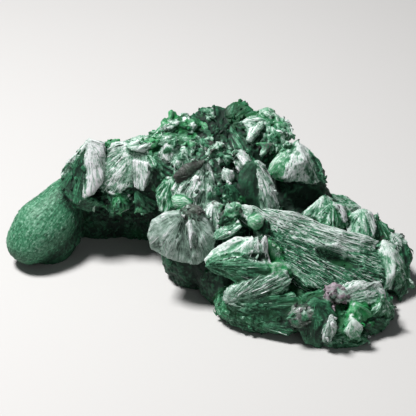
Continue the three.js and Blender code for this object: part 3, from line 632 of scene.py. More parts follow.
        ((-4, -11, 20.8), (-3.6, -11.2, 20.6), (-3, -14, 17.6), (-3.4, -15, 14.4), (-3.6, -15, 14.2),
        (-3.8, -13.2, 17.6)),
    ),
    Block("pleat_left", 0.5, 4, JADE,
        ((8.4, -15, 18), (5.4, -14.8, 18), (2, -14.8, 15.6), (-0.6, -16, 13.4), (-0.2, -17, 12.2),
        (4.6, -16.8, 14.4), (6.8, -16.2, 15.6)),
    ),
    Block("pleat_mid", 0.5, 4, JADE,
        ((8.6, -15.8, 18.4), (7.2, -16, 18), (4.6, -17.2, 15), (6.6, -17.6, 13.6), (8.2, -17.2, 15)),
    ),
    Block("pleat_right", 0.6, 4, SILVER,
        ((9.4, -15.8, 18.4), (8.4, -16.6, 17), (7.2, -17.6, 13.6), (9.4, -17.8, 13), (10.4, -17, 15.8)),
    ),
    Block("pleat_edge", 0.2, 2, BLUSH,
        ((10.4, -16, 19.4), (11.2, -16.6, 18.8), (11.8, -17.8, 14), (10.6, -18.2, 13.4),
        (10.2, -17.6, 16.6)),
    ),
    Block("pleat_side", 0.5, 4, MOSSY,
        ((11.6, -15.4, 17.8), (13.8, -15.4, 16), (14.6, -16, 13.4), (12.2, -17.4, 12.8)),
    ),
    Block("visor", 1, 5, STRIPED,
        ((-0.8, -17.6, 13), (1.8, -17.8, 15), (6.4, -18, 16), (10.6, -18.4, 15.4), (11.8, -19.2, 13.2),
        (10.2, -19.8, 10.4), (6, -19.8, 10), (1.6, -18.6, 11)),
    ),
    Block("visor_curl", 0.8, 4, MINT,
        ((9.8, -18.6, 13.4), (12.6, -18, 14.2), (15.6, -17.4, 13.2), (17, -18, 11.6), (14.6, -19.2, 10.6),
        (11, -19.4, 11.4)),
    ),
    Block("visor_leaf", 1, 5, PALESTRIPE,
        ((3, -21.4, 7), (3.4, -20.4, 9), (6.8, -20.2, 11), (11.4, -19.8, 12.6), (15, -18.8, 12.8),
        (16.2, -19.6, 11), (14.4, -20.8, 8.6), (10.2, -21.6, 7), (6, -22, 6)),
    ),
    Block("lip", 0.8, 5, STRIPED,
        ((3, -20.8, 6), (7, -22.2, 6.8), (11.8, -21.8, 8.8), (16, -21.4, 9.2), (17.6, -22.4, 7.2),
        (15.6, -23, 5), (11.4, -23.4, 3.6), (6.4, -22.4, 4)),
    ),
    Block("lip_low", 0.5, 6.5, DUSK,
        ((6.2, -22.2, 4), (11.4, -23.4, 4.2), (16.2, -23, 5.6), (17.6, -24.6, 4), (14.6, -25, 2),
        (9.6, -24, 2.4)),
    ),
    Block("plum_leaf", 0.5, 5, ROSY,
        ((15.2, -25.4, 6.4), (17, -24.4, 8.4), (19.8, -24.2, 8.4), (20.2, -25.2, 6.6), (17.8, -26.2, 4.8),
        (15.8, -25.6, 4.8)),
    ),
    Block("toe", 2, 6, SMOOTH,
        ((20, -23, 9.4), (17.6, -24, 7.8), (16.8, -25, 4.2), (18.4, -26.2, 0.8), (21.6, -26.4, -0.2),
        (24.2, -25.2, 1.4), (24.4, -24.4, 5.8), (23, -23.2, 8.6)),
    ),
    Block("toe_blade", 0.4, 2, SILVER,
        ((22.4, -27.2, 8.6), (24, -28, 6.8), (23, -27.8, 1.8), (21.2, -27.6, 2), (21.8, -27.2, 5.2)),
    ),
    Block("toe_shard", 0.6, 3, JADE,
        ((27, -26, 7.4), (29.2, -26.6, 6), (28.8, -27, 3.4), (26.6, -27.2, 2), (25.6, -27.2, 4)),
    ),
    Block("toe_base", 0.5, 4, GRAINY,
        ((22.2, -26.2, 2.4), (25.8, -26.4, 3.6), (29, -26.4, 3), (31, -25.6, 0.8), (27.4, -26.4, -0.4),
        (22.8, -26.4, -0.4)),
    ),
    Block("frill_low", 0.6, 4, LEAFY,
        ((33.4, -21.2, 7.6), (35.8, -20.6, 5.8), (34.8, -21.6, 3.4), (31.6, -22.6, 3), (31, -22.4, 6.6)),
    ),
    Block("frill_mid", 0.6, 4, MOSSY,
        ((27.2, -22.6, 8.2), (30.2, -22.2, 7.6), (31.2, -23.2, 5.4), (29.2, -24.4, 4.6), (26.6, -24.2, 6)),
    ),
    Block("frill_dark", 0.5, 4, DARK,
        ((29.8, -24.6, 4.4), (32.8, -22.6, 4.4), (35.4, -21.2, 3.4), (34.2, -22.4, 0.8), (30.6, -24, 0)),
    ),
    Block("pink", 0.3, 2, PINK,
        ((22, -21.2, 10.4), (24.4, -20.6, 11), (26.4, -21, 10), (26.8, -22, 8.2), (24.6, -23, 7.8),
        (22.2, -22.8, 9)),
    ),
    Block("frill_top", 0.8, 4, MINTSILK,
        ((25.2, -21.6, 9.4), (27.2, -20.2, 10.6), (30.4, -19.2, 10.6), (33.2, -18.4, 9), (34, -19.6, 6.2),
        (31.2, -21.2, 6), (27.2, -22.4, 7.6)),
        (23, -23.4, 8),
    ),
    Block("frill_end", 0.4, 2, BLUSH,
        ((31.8, -18.6, 9.6), (33, -18, 9.8), (34.2, -18.8, 8), (34.2, -19.6, 5.6), (32.6, -20.4, 6)),
    ),
    Block("frill_gap", 0, 5, DUSK,
        ((17.4, -21.8, 9), (23.2, -20, 9.4), (26, -21.8, 6.8), (27.4, -23.4, 4.4), (24.6, -24.6, 3),
        (21.2, -24.4, 4.8), (17.8, -22.8, 6.8)),
    ),
)


@dataclass(frozen=True)
class Dent:
    """A hollow pressed into the finished relief."""

    middle: Point
    half_sizes: Point
    depth: float


DENTS = (
    Dent((25.5, -12.4, 10.6), (7, 1.6, 3.6), 1.6),
    Dent((6.5, 1.5, 23.5), (3, 4, 5), 0.5),
    Dent((19.4, 0.5, 15), (4.5, 3.5, 3.2), 1.8),
    Dent((-5.2, -12, 17.8), (0.8, 1.6, 1.9), 0.5),
    Dent((3.6, -17.6, 15), (4.2, 1.2, 1.1), 0.9),
    Dent((9.4, -18, 15), (3.4, 1.2, 1.1), 0.9),
)


@dataclass(frozen=True)
class Jumble:
    """A place where broken chips lie close together.

    The chips lie on the surface inside the ellipsoid around `middle`. They point along `flow`, give or take
    `stray`, and lift off the surface by `lift`, both as shares of their length.
    """

    middle: Point
    half_sizes: Point
    count: int
    length: tuple[float, float]
    flow: Point
    stray: float
    lift: float
    skins: tuple[Skin, ...]


JUMBLES = (
    Jumble(
        (-6, 7, 26.5), (6.5, 6, 4), 80, (1.8, 3.8), (0.85, 0.45, 0.2), 0.5, 0.3,
        (LEAFY, EMERALD, MOSSY, SILK, DUSK),
    ),
    Jumble(
        (0, 9, 28), (4.5, 7, 4), 60, (1.2, 2.6), (0, -0.7, -0.3), 0.9, 0.45,
        (EMERALD, DARK, BLACK, DARK, BLACK),
    ),
    Jumble(
        (14, 7.5, 26), (5, 5.5, 3.6), 70, (1.2, 2.6), (0, -0.7, -0.3), 0.9, 0.45,
        (LEAFY, DUSK, GRAINY, SAGE, MOSSY),
    ),
    Jumble(
        (2, 2, 26.5), (8, 4, 3), 80, (1.3, 2.6), (0, -0.8, -0.5), 0.8, 0.45,
        (SILVER, SAGE, DARK, LEAFY, PLUM),
    ),
    Jumble(
        (-9, 3, 21), (4, 4, 4), 16, (1.5, 3), (-0.4, -0.5, -0.8), 0.6, 0.3,
        (MOSSY, LEAFY, DUSK, SILK),
    ),
    Jumble(
        (24.5, -22, 9.5), (2.5, 2, 2), 12, (1, 2), (0.4, -0.6, -0.4), 0.8, 0.4,
        (PINK, ROSY, JADE, SILVER),
    ),
    Jumble(
        (18, -25.4, 6.8), (3, 2, 2.5), 12, (1, 2), (0.6, -0.3, -0.4), 0.7, 0.3,
        (ROSY, DUSK, SAGE, PLUM),
    ),
    Jumble(
        (4, -9, 20), (4, 3, 2), 30, (1.2, 2.6), (1, 0.25, 0.1), 0.4, 0.3,
        (LEAFY, MOSSY, MINT, PLUM),
    ),
    # Painted shade: near-black chips on the wall at the back of the hollow under the ridge.
    Jumble(
        (-20, 5, 6), (10, 4, 7), 40, (1.5, 3.5), (0.1, -0.5, -1), 0.7, 0.3,
        (PIT, BLACK),
    ),
    Jumble(
        (-16, 2, 13), (7, 3, 2.5), 24, (1, 2.2), (0.1, -0.4, -1), 0.7, 0.4,
        (DARK, GRANULAR, MOSSY, DUSK),
    ),
    Jumble(
        (22, 3, 20), (4, 5, 4), 20, (1.2, 2.4), (0.3, -0.4, -0.9), 0.6, 0.3,
        (PLUM, DARK, DUSK),
    ),
    Jumble(
        (33, -2, 12), (8, 4, 4), 30, (1.3, 2.6), (0.3, -0.8, -0.5), 0.6, 0.4,
        (LEAFY, SILVER, DUSK, BLUSH, PLUM),
    ),
    Jumble(
        (31, -21.5, 5), (6, 4, 4), 26, (1.3, 2.8), (0.2, -0.6, -0.7), 0.7, 0.4,
        (LEAFY, SILVER, DARK, MOSSY, PLUM),
    ),
    Jumble(
        (38, -14, 4), (5, 7, 5), 30, (1.5, 3), (0.3, -0.6, -0.6), 0.7, 0.35,
        (DARK, DUSK, SILVER, LEAFY),
    ),
    Jumble(
        (-2, 17, 15), (29, 8, 12), 70, (5, 9), (0, 0.5, -0.85), 0.35, 0.12,
        (SHEAF, LEAFY, DUSK, SAGE, ROUGH),
    ),
    Jumble(
        (5, 18, 14), (25, 8, 12), 150, (2, 5), (0, 0.4, -0.9), 0.5, 0.25,
        (LEAFY, SILK, DUSK, DARK, ROUGH),
    ),
    Jumble(
        (32, 3, 7), (9, 6, 7), 50, (1.8, 4), (0.4, 0.5, -0.8), 0.6, 0.3,
        (LEAFY, SILK, DUSK, DARK),
    ),
)


# ----------------------------------------------------------------------------------------------------------
# Small tools for operators and meshes
# ----------------------------------------------------------------------------------------------------------


def select_only(piece: bpy.types.Object) -> None:
    """Makes one object the only selected and the active one."""
    bpy.ops.object.select_all(action="DESELECT")
    piece.select_set(True)
    bpy.context.view_layer.objects.active = piece


def join(pieces: list[bpy.types.Object], name: str) -> bpy.types.Object:
    """Joins objects into one.

    Args:
        pieces: the objects, whose meshes become one mesh.
        name: the name of the joined object.

    Returns:
        The joined object.
    """
    select_only(pieces[0])
    for piece in pieces[1:]:
        piece.select_set(True)
    bpy.ops.object.join()
    joined = bpy.context.view_layer.objects.active
    joined.name = name
    return joined


def apply_modifier(piece: bpy.types.Object, kind: str, **settings: object) -> None:
    """Adds a modifier to an object and applies it.

    Args:
        piece: the object to change.
        kind: the modifier's type.
        settings: the modifier's settings by name.
    """
    select_only(piece)
    modifier = piece.modifiers.new(kind.title(), kind)
    for key, value in settings.items():
        setattr(modifier, key, value)
    bpy.ops.object.modifier_apply(modifier=modifier.name)


def select_vertices(mesh: bpy.types.Mesh, chosen: np.ndarray) -> None:
    """Selects some of a mesh's vertices and nothing else, ready for edit mode."""
    mesh.polygons.foreach_set("select", np.zeros(len(mesh.polygons), bool))
    mesh.edges.foreach_set("select", np.zeros(len(mesh.edges), bool))
    mesh.vertices.foreach_set("select", chosen)


def positions(mesh: bpy.types.Mesh) -> np.ndarray:
    """The places of a mesh's vertices, one row each."""
    flat = np.empty(len(mesh.vertices) * 3, np.float32)
    mesh.vertices.foreach_get("co", flat)
    return flat.reshape(-1, 3).astype(np.float64)


def set_positions(mesh: bpy.types.Mesh, points: np.ndarray) -> None:
    """Moves a mesh's vertices to new places."""
    mesh.vertices.foreach_set("co", points.astype(np.float32).ravel())
    mesh.update()


def put_in_order(mesh: bpy.types.Mesh) -> None:
    """Sorts the vertices and the faces of a mesh by place, so that each run counts them in the same order."""
    points = positions(mesh)
    order = np.lexsort(points.T)
    ranks = np.empty(len(order), np.int64)
    ranks[order] = np.arange(len(order))
    ranks = ranks.tolist()
    faces = []
    for polygon in mesh.polygons:
        corners = [ranks[vertex] for vertex in polygon.vertices]
        first = corners.index(min(corners))
        faces.append(corners[first:] + corners[:first])
    mesh.clear_geometry()
    mesh.from_pydata(points[order].tolist(), [], sorted(faces))


def normals(mesh: bpy.types.Mesh) -> np.ndarray:
    """The directions in which a mesh's vertices face, one row each."""
    flat = np.empty(len(mesh.vertices) * 3, np.float32)
    mesh.vertices.foreach_get("normal", flat)
    return flat.reshape(-1, 3).astype(np.float64)


def edges(mesh: bpy.types.Mesh) -> np.ndarray:
    """The two vertices of each of a mesh's edges, one row each."""
    flat = np.empty(len(mesh.edges) * 2, np.int32)
    mesh.edges.foreach_get("vertices", flat)
    return flat.reshape(-1, 2)


def smoothed(mesh: bpy.types.Mesh, points: np.ndarray, rounds: int) -> np.ndarray:
    """Moves each point to the middle of its neighbours on the mesh, a number of times.

    Args:
        mesh: says which points are neighbours.
        points: one row for each of the mesh's vertices.
        rounds: how many times.

    Returns:
        The moved points.
    """
    pairs = edges(mesh)
    ends = np.concatenate([pairs[:, 0], pairs[:, 1]])
    others = np.concatenate([pairs[:, 1], pairs[:, 0]])
    neighbours = np.maximum(np.bincount(ends, minlength=len(points)), 1)[:, None]
    for _ in range(rounds):
        sums = [np.bincount(ends, points[others, axis], len(points)) for axis in range(3)]
        points = np.stack(sums, axis=1) / neighbours
    return points


def unit(vectors: np.ndarray) -> np.ndarray:
    """Vectors brought to length 1."""
    return vectors / np.maximum(np.linalg.norm(vectors, axis=-1, keepdims=True), 1e-9)


class Noise:
    """Smooth gradient noise that gives the same values on each run."""

    SIZE = 256
    GAIN = 1.6

    def __init__(self, seed: int) -> None:
        """Draws the lattice's directions from a seed."""
        draw = np.random.default_rng(seed)
        self.order = np.tile(draw.permutation(self.SIZE), 2)
        self.slopes = unit(draw.normal(size=(self.SIZE, 3)))

    def __call__(self, points: np.ndarray) -> np.ndarray:
        """Gives the noise at some points.

        Args:
            points: one row each, in periods of the noise.

        Returns:
            One value for each point, from about -1 to 1.
        """
        cell = np.floor(points).astype(np.int64)
        part = points - cell
        fade = part * part * part * (part * (part * 6 - 15) + 10)
        total = np.zeros(len(points))
        for corner in np.ndindex(2, 2, 2):
            x, y, z = ((cell + corner) & (self.SIZE - 1)).T
            mixed = self.order[self.order[self.order[x] + y] + z]
            height = np.einsum("ij,ij->i", self.slopes[mixed], part - corner)
            weight = np.prod(np.where(np.array(corner) == 1, fade, 1 - fade), axis=1)
            total += height * weight
        return total * self.GAIN


# ----------------------------------------------------------------------------------------------------------
# Making the body
# ----------------------------------------------------------------------------------------------------------


def stand(mesh: bpy.types.Mesh, name: str) -> bpy.types.Object:
    """Makes an object of a mesh and puts it in the scene."""
    piece = bpy.data.objects.new(name, mesh)
    bpy.context.collection.objects.link(piece)
    return piece


def mark(piece: bpy.types.Object, number: int) -> bpy.types.Object:
    """Marks all faces of an object with its growth's number and gives the object back."""
    owner = piece.data.attributes.new("owner", "INT", "FACE")
    owner.data.foreach_set("value", np.full(len(piece.data.polygons), number, np.int32))
    return piece


@dataclass
class LobeMaker:
    """Models one lobe of each habit, one unit long up +Z and one unit across, and places copies of it."""

    masters: dict[Habit, bpy.types.Mesh] = field(default_factory=dict)

    def master(self, habit: Habit) -> bpy.types.Mesh:
        """Models a habit's lobe, or gives the one that is there.

        Args:
            habit: the habit of growth.

        Returns:
            The mesh to copy.
        """
        if habit not in self.masters:
            bpy.ops.mesh.primitive_uv_sphere_add(
                segments=habit.sides, ring_count=habit.rings, radius=0.5, location=(0, 0, 0.5)
            )
            shaped = bpy.context.active_object
            select_only(shaped)
            bpy.ops.object.transform_apply(location=True, rotation=False, scale=False)
            heights = positions(shaped.data)[:, 2]
            for ring in range(1, habit.rings):
                self.resize_ring(shaped, heights, ring, habit)
            self.masters[habit] = shaped.data.copy()
            put_in_order(self.masters[habit])
            bpy.data.objects.remove(shaped)
        return self.masters[habit]

    @staticmethod
    def resize_ring(shaped: bpy.types.Object, heights: np.ndarray, ring: int, habit: Habit) -> None:
        """Brings one ring of the sphere to the habit's outline."""
        along = (1 - math.cos(math.pi * ring / habit.rings)) / 2
        bend = math.log(0.5) / math.log(habit.widest)
        radius = 0.5 * math.sin(math.pi * along**bend) ** habit.fullness
        factor = radius / (0.5 * math.sin(math.pi * ring / habit.rings))
        select_vertices(shaped.data, np.abs(heights - along) < 1e-4)
        bpy.ops.object.mode_set(mode="EDIT")
        bpy.ops.transform.resize(value=(factor, factor, 1), center_override=(0, 0, along))
        bpy.ops.object.mode_set(mode="OBJECT")

    def place(self, lobe: Lobe, faces: Point, number: int) -> bpy.types.Object:
        """Copies a habit's lobe to its place.

        Args:
            lobe: the lobe to make.
            faces: where its broad side looks.
            number: what its faces are marked with, so that each spot of the body knows its lobe.

        Returns:
            The new object, with a mesh of its own.
        """
        along = Vector(lobe.tip) - Vector(lobe.root)
        direction = along.normalized()
        out = Vector(faces) - direction * Vector(faces).dot(direction)
        out.normalize()
        across = out.cross(direction)
        turned = Matrix((across * lobe.width, out * lobe.depth, along)).transposed().to_4x4()
        mesh = self.master(lobe.habit).copy()
        mesh.transform(Matrix.Translation(lobe.root) @ turned)
        return mark(stand(mesh, lobe.name), number)


@dataclass
class BlockMaker:
    """Models blocks as the tightest solids around their corners.

    Their fronts look to the side of `viewed`, and their backs are `back_share` as wide as their fronts.
    """

    viewed: Point = (0, -0.7, 0.7)
    back_share: float = 0.72

    def place(self, block: Block, number: int) -> bpy.types.Object:
        """Models one block in its place.

        Args:
            block: the block to make.
            number: what its faces are marked with.

        Returns:
            The new object.
        """
        corners = np.array(block.corners)
        middle = corners.mean(axis=0)
        arms = corners - middle
        facing = unit(np.cross(arms, np.roll(arms, -1, axis=0)).sum(axis=0))
        facing = facing * np.sign(facing @ np.array(self.viewed))
        back = middle + arms * self.back_share - facing * block.depth
        points = np.concatenate([corners, back, [middle + facing * block.crown]])
        mesh = bpy.data.meshes.new(block.name)
        mesh.from_pydata(points.tolist(), [], [])
        piece = stand(mesh, block.name)
        select_only(piece)
        bpy.ops.object.mode_set(mode="EDIT")
        bpy.ops.mesh.select_all(action="SELECT")
        bpy.ops.mesh.convex_hull(join_triangles=False)
        bpy.ops.object.mode_set(mode="OBJECT")
        put_in_order(mesh)
        return mark(piece, number)


def heart_lump(lump: Lump, number: int) -> bpy.types.Object:
    """Models one lump of the heart."""
    bpy.ops.mesh.primitive_ico_sphere_add(
        subdivisions=4, radius=1, location=lump.middle, scale=lump.half_sizes
    )
    made = bpy.context.active_object
    select_only(made)
    bpy.ops.object.transform_apply(location=True, rotation=False, scale=True)
    mesh = made.data.copy()
    bpy.data.objects.remove(made)
    put_in_order(mesh)
    return mark(stand(mesh, "heart"), number)


def surface_of(piece: bpy.types.Object) -> BVHTree:
    """An object's faces, ready to be asked for the nearest one."""
    return BVHTree.FromObject(piece, bpy.context.evaluated_depsgraph_get())


@dataclass
class ChipThrower:
    """Lays the chips of the jumbles on a surface.

    `habits` is how often each habit is drawn. A chip is `slimmest` to `stoutest` of its length wide and
    thick, and starts `behind` and `below` its foot by these shares of its length. None lies where the surface
    faces down by more than `overhang`.
    """

    seed: int = 11
    habits: tuple[tuple[Habit, float], ...] = ((SPRAY, 0.25), (LEAF, 0.35), (SHARD, 0.3), (KNOB, 0.1))
    slimmest: tuple[float, float] = (0.4, 0.25)
    stoutest: tuple[float, float] = (0.8, 0.45)
    behind: float = 0.4
    below: float = 0.12
    overhang: float = -0.5

    def throw(self, surface: BVHTree) -> list[tuple[Lobe, Point]]:
        """Chooses every chip.

        Args:
            surface: what the chips lie on.

        Returns:
            Each chip as a lobe, with the way it faces.
        """
        draw = np.random.default_rng(self.seed)
        chips = []
        for jumble in JUMBLES:
            for _ in range(jumble.count):
                chip = self.one(jumble, surface, draw)
                if chip:
                    chips.append(chip)
        return chips

    def one(self, jumble: Jumble, surface: BVHTree, draw: np.random.Generator) -> tuple[Lobe, Point] | None:
        """Chooses one chip, or none where the surface is out of reach."""
        middle, half_sizes = np.array(jumble.middle), np.array(jumble.half_sizes)
        spot = middle + half_sizes * unit(draw.normal(size=3)) * draw.random() ** (1 / 3)
        length = draw.uniform(*jumble.length)
        kinds, shares = zip(*self.habits)
        habit = draw.choice(kinds, p=shares)
        skin = jumble.skins[draw.integers(len(jumble.skins))]
        flow = unit(np.array(jumble.flow) + jumble.stray * draw.normal(size=3))
        shape = draw.uniform(self.slimmest, self.stoutest)
        foot, normal, _, _ = surface.find_nearest(Vector(spot))
        if np.linalg.norm((np.array(foot) - middle) / half_sizes) > 1 or normal.z < self.overhang:
            return None
        normal = np.array(normal)
        lying = unit(flow - normal * flow.dot(normal))
        along = unit(lying + normal * jumble.lift)
        root = np.array(foot) - along * length * self.behind - normal * self.below * length
        lobe = Lobe("chip", habit, tuple(root), tuple(root + along * length), *(shape * length), skin)
        return lobe, tuple(normal)


# The ridges along the fibres: the skins' value, the noise's seed, how many times longer than wide they are,
# and 1 where their tops are the sharp side or -1 where their grooves are.
RIDGES = (("rib", 2, 10, -1), ("fibre", 3, 12, 1))


@dataclass
class Specimen:
    """The body: blocks and lobes on a heart, fused, given relief and cut flat.

    `voxel` is how fine the skin around them is. `soft_rounds` of smoothing make velvet, and `fill_rounds`
    show the clefts, which rise by `fill_share`. `bend` and `ripple` are how far the large and the fine warp
    move the skin, each with the size of its waves. `jitter` frays the facets' edges, `facet_stretch` makes
    them long along the fibres, and `facet_tilt` and `facet_step` set neighbours apart. `sharpness` is how
    narrow the ridges' edges are, and `apart` keeps the ridges of neighbouring growths from matching. Each
    noise has a seed, or one for each axis from its seed on.
    """

    voxel: float = 0.26
    quick_voxel: float = 0.42
    resting_height: float = 0.0
    soft_rounds: int = 50
    fill_rounds: int = 80
    fill_share: float = 1.2
    bend: float = 0.5
    bend_size: float = 6.5
    ripple: float = 0.28
    velvet_ripple: float = 0.05
    ripple_size: float = 2.2
    jitter: float = 0.35
    jitter_size: float = 1.3
    facet_stretch: float = 0.8
    facet_tilt: float = 0.16
    facet_step: float = 0.1
    sharpness: float = 2.4
    apart: float = 7.31
    grain_seed: int = 4
    facet_seed: int = 5
    bend_seed: int = 20
    ripple_seed: int = 30
    jitter_seed: int = 40
    growths: list[Lobe | Block | Lump] = field(default_factory=list)
    lobe_maker: LobeMaker = field(default_factory=LobeMaker)
    block_maker: BlockMaker = field(default_factory=BlockMaker)
    chips: ChipThrower = field(default_factory=ChipThrower)

    def build(self) -> bpy.types.Object:
        """Builds the body in millimetres, in the layout's place.

        Returns:
            The body's object.
        """
        rough = self.rough()
        self.add_chips(rough)
        self.surface = surface_of(rough)
        owners = np.empty(len(rough.data.polygons), np.int32)
        rough.data.attributes["owner"].data.foreach_get("value", owners)
        self.face_owners = owners
        self.fuse(rough)
        self.sculpt(rough.data)
        self.cut(rough)
        self.surface_area = sum(polygon.area for polygon in rough.data.polygons)
        return rough

    def rough(self) -> bpy.types.Object:
        """Puts every lobe, block and lump in its place and joins them."""
        made = []
        for region in REGIONS:
            for lobe in region.lobes:
                made.append(self.lobe_maker.place(lobe, region.faces, len(self.growths)))
                self.growths.append(lobe)
        for block in BLOCKS:
            made.append(self.block_maker.place(block, len(self.growths)))
            self.growths.append(block)
        for lump in HEART:
            made.append(heart_lump(lump, len(self.growths)))
            self.growths.append(lump)
        return join(made, PIECE)

    def add_chips(self, rough: bpy.types.Object) -> None:
        """Lays the chips on the lobes and joins them to the rest."""
        thrown = self.chips.throw(surface_of(rough))
        first = len(self.growths)
        made = [self.lobe_maker.place(chip, faces, first + i) for i, (chip, faces) in enumerate(thrown)]
        self.growths += [chip for chip, _ in thrown]
        join([rough, *made], PIECE)

    @property
    def spacing(self) -> float:
        """How far apart the body's vertices are."""
        return self.voxel

    def rounds(self, full: int) -> int:
        """How many rounds of smoothing reach as far at this spacing as `full` rounds do at the finest."""
        return round(full * (self.voxel / self.spacing) ** 2)

    def fuse(self, rough: bpy.types.Object) -> None:
        """Makes one skin around everything that overlaps."""
        apply_modifier(rough, "REMESH", mode="VOXEL", voxel_size=self.spacing)
        put_in_order(rough.data)

    def owners(self, points: np.ndarray) -> np.ndarray:
        """Finds the lobe or block that each point lies on.

        Args:
            points: one row each.

        Returns:
            Their numbers.
        """
        nearest = [self.surface.find_nearest(Vector(point))[2] for point in points]
        return self.face_owners[np.array(nearest)]

    def flow(self, points: np.ndarray, owners: np.ndarray) -> tuple[np.ndarray, np.ndarray]:
        """Finds how the fibres run at each point.

        Args:
            points: one row each.
            owners: the points' lobes and blocks.

        Returns:
            The unit direction away from where the fibres start, and the distance from there.
        """
        roots = np.array([growth.root for growth in self.growths], float)
        away = points - roots[owners]
        return unit(away), np.linalg.norm(away, axis=1)

    def of_skin(self, owners: np.ndarray, name: str) -> np.ndarray:
        """One value of the skins, for each point's lobe or block."""
        return np.array([getattr(growth.skin, name) for growth in self.growths], float)[owners]

    def lengths(self, owners: np.ndarray) -> np.ndarray:
        """How far the fibres run on each point's lobe or block."""
        return np.array([growth.length for growth in self.growths])[owners]

    def sculpt(self, mesh: bpy.types.Mesh) -> None:
        """Warps the body, breaks it into facets and raises the ribs, fibres and grains of its skins."""
        points = positions(mesh)
        owners = self.owners(points)
        points = self.filled(mesh, self.warped(points, owners))
        points = self.facets(points, normals(mesh), owners)
        points = smoothed(mesh, points, 1)
        soft = smoothed(mesh, points, self.rounds(self.soft_rounds))
        velvet = (self.of_skin(owners, "facet") == 0)[:, None]
        set_positions(mesh, np.where(velvet, soft, points))
        points, facing = positions(mesh), normals(mesh)
        away, distance = self.flow(points, owners)
        length = self.lengths(owners)
        own = (owners * self.apart)[:, None]
        height = np.zeros(len(points))
        for name, seed, stretch, sign in RIDGES:
            width = self.of_skin(owners, name + "_width")
            along = away * ((length + distance / stretch) / width)[:, None]
            ridges = sign * (1 - self.sharpness * np.abs(Noise(seed)(along + own)))
            height += self.of_skin(owners, name) * ridges
        grains = Noise(self.grain_seed)(points / self.of_skin(owners, "grain_size")[:, None])
        height += self.of_skin(owners, "grain") * grains
        for dent in DENTS:
            reach = np.linalg.norm((points - dent.middle) / dent.half_sizes, axis=1)
            height -= dent.depth * np.clip(1 - reach**2, 0, 1)
        set_positions(mesh, points + facing * height[:, None])

    def filled(self, mesh: bpy.types.Mesh, points: np.ndarray) -> np.ndarray:
        """Raises the clefts between neighbours, so that they grow into each other."""
        step = smoothed(mesh, points, self.rounds(self.fill_rounds)) - points
        rise = np.einsum("ij,ij->i", step, normals(mesh)) / np.maximum(np.linalg.norm(step, axis=1), 1e-6)
        return points + step * np.clip(rise * self.fill_share, 0, 1)[:, None]

    def warped(self, points: np.ndarray, owners: np.ndarray) -> np.ndarray:
        """Bends the body out of its even shapes, and least where its skin is velvet."""
        fine = np.where(self.of_skin(owners, "facet") > 0, self.ripple, self.velvet_ripple)
        moved = points.copy()
        for axis in range(3):
            bend = self.bend * Noise(self.bend_seed + axis)(points / self.bend_size)
            moved[:, axis] += bend + fine * Noise(self.ripple_seed + axis)(points / self.ripple_size)
        return moved

    def facets(self, points: np.ndarray, facing: np.ndarray, owners: np.ndarray) -> np.ndarray:
        """Breaks each lobe's surface into flats that are long the way its fibres run.

        Args:
            points: one row each.
            facing: the points' normals.
            owners: the points' lobes.

        Returns:
            The moved points.
        """
        draw = np.random.default_rng(self.facet_seed)
        away, _ = self.flow(points, owners)
        strength, size = self.of_skin(owners, "facet"), self.of_skin(owners, "facet_size")
        moved = points.copy()
        waves = [Noise(self.jitter_seed + axis)(points / self.jitter_size) for axis in range(3)]
        jitter = np.stack(waves, axis=1) * self.jitter
        order = np.argsort(owners, kind="stable")
        starts = np.flatnonzero(np.diff(owners[order], prepend=owners[order[0]] - 1))
        for group in np.split(order, starts[1:]):
            if strength[group[0]] == 0:
                continue
            area = len(group) * self.spacing**2
            count = max(2, round(area / size[group[0]] ** 2))
            seeds = draw.choice(group, min(count, len(group)), replace=False)
            gaps = (points[group] + jitter[group])[:, None] - points[seeds]
            run = np.einsum("ijk,jk->ij", gaps, away[seeds])
            span = np.einsum("ijk,ijk->ij", gaps, gaps) - self.facet_stretch * run**2
            cells = span.argmin(axis=1)
            for cell in range(len(seeds)):
                members = group[cells == cell]
                if len(members) < 4:
                    continue
                flat = unit(facing[members].mean(axis=0) + self.facet_tilt * draw.normal(size=3))
                middle = points[members].mean(axis=0)
                rise = (points[members] - middle) @ flat - self.facet_step * draw.normal()
                moved[members] -= np.outer(rise * strength[members], flat)
        return moved

    def cut(self, body: bpy.types.Object) -> None:
        """Cuts the body off flat where it rests."""
        select_only(body)
        bpy.ops.object.mode_set(mode="EDIT")
        bpy.ops.mesh.select_all(action="SELECT")
        bpy.ops.mesh.bisect(
            plane_co=(0, 0, self.resting_height), plane_no=(0, 0, 1), use_fill=True, clear_inner=True
        )
        bpy.ops.mesh.select_all(action="SELECT")
        bpy.ops.mesh.quads_convert_to_tris()
        bpy.ops.object.mode_set(mode="OBJECT")

    def thin(self, body: bpy.types.Object) -> None:
        """Drops the triangles that add least, down to the limit."""
        count = len(body.data.polygons)
        if count > TRIANGLE_LIMIT:
            apply_modifier(body, "DECIMATE", ratio=TRIANGLE_LIMIT / count)
        points = positions(body.data)
        points[:, 2] = np.maximum(points[:, 2], self.resting_height)
        set_positions(body.data, points)


# ----------------------------------------------------------------------------------------------------------
# Colours
# ----------------------------------------------------------------------------------------------------------


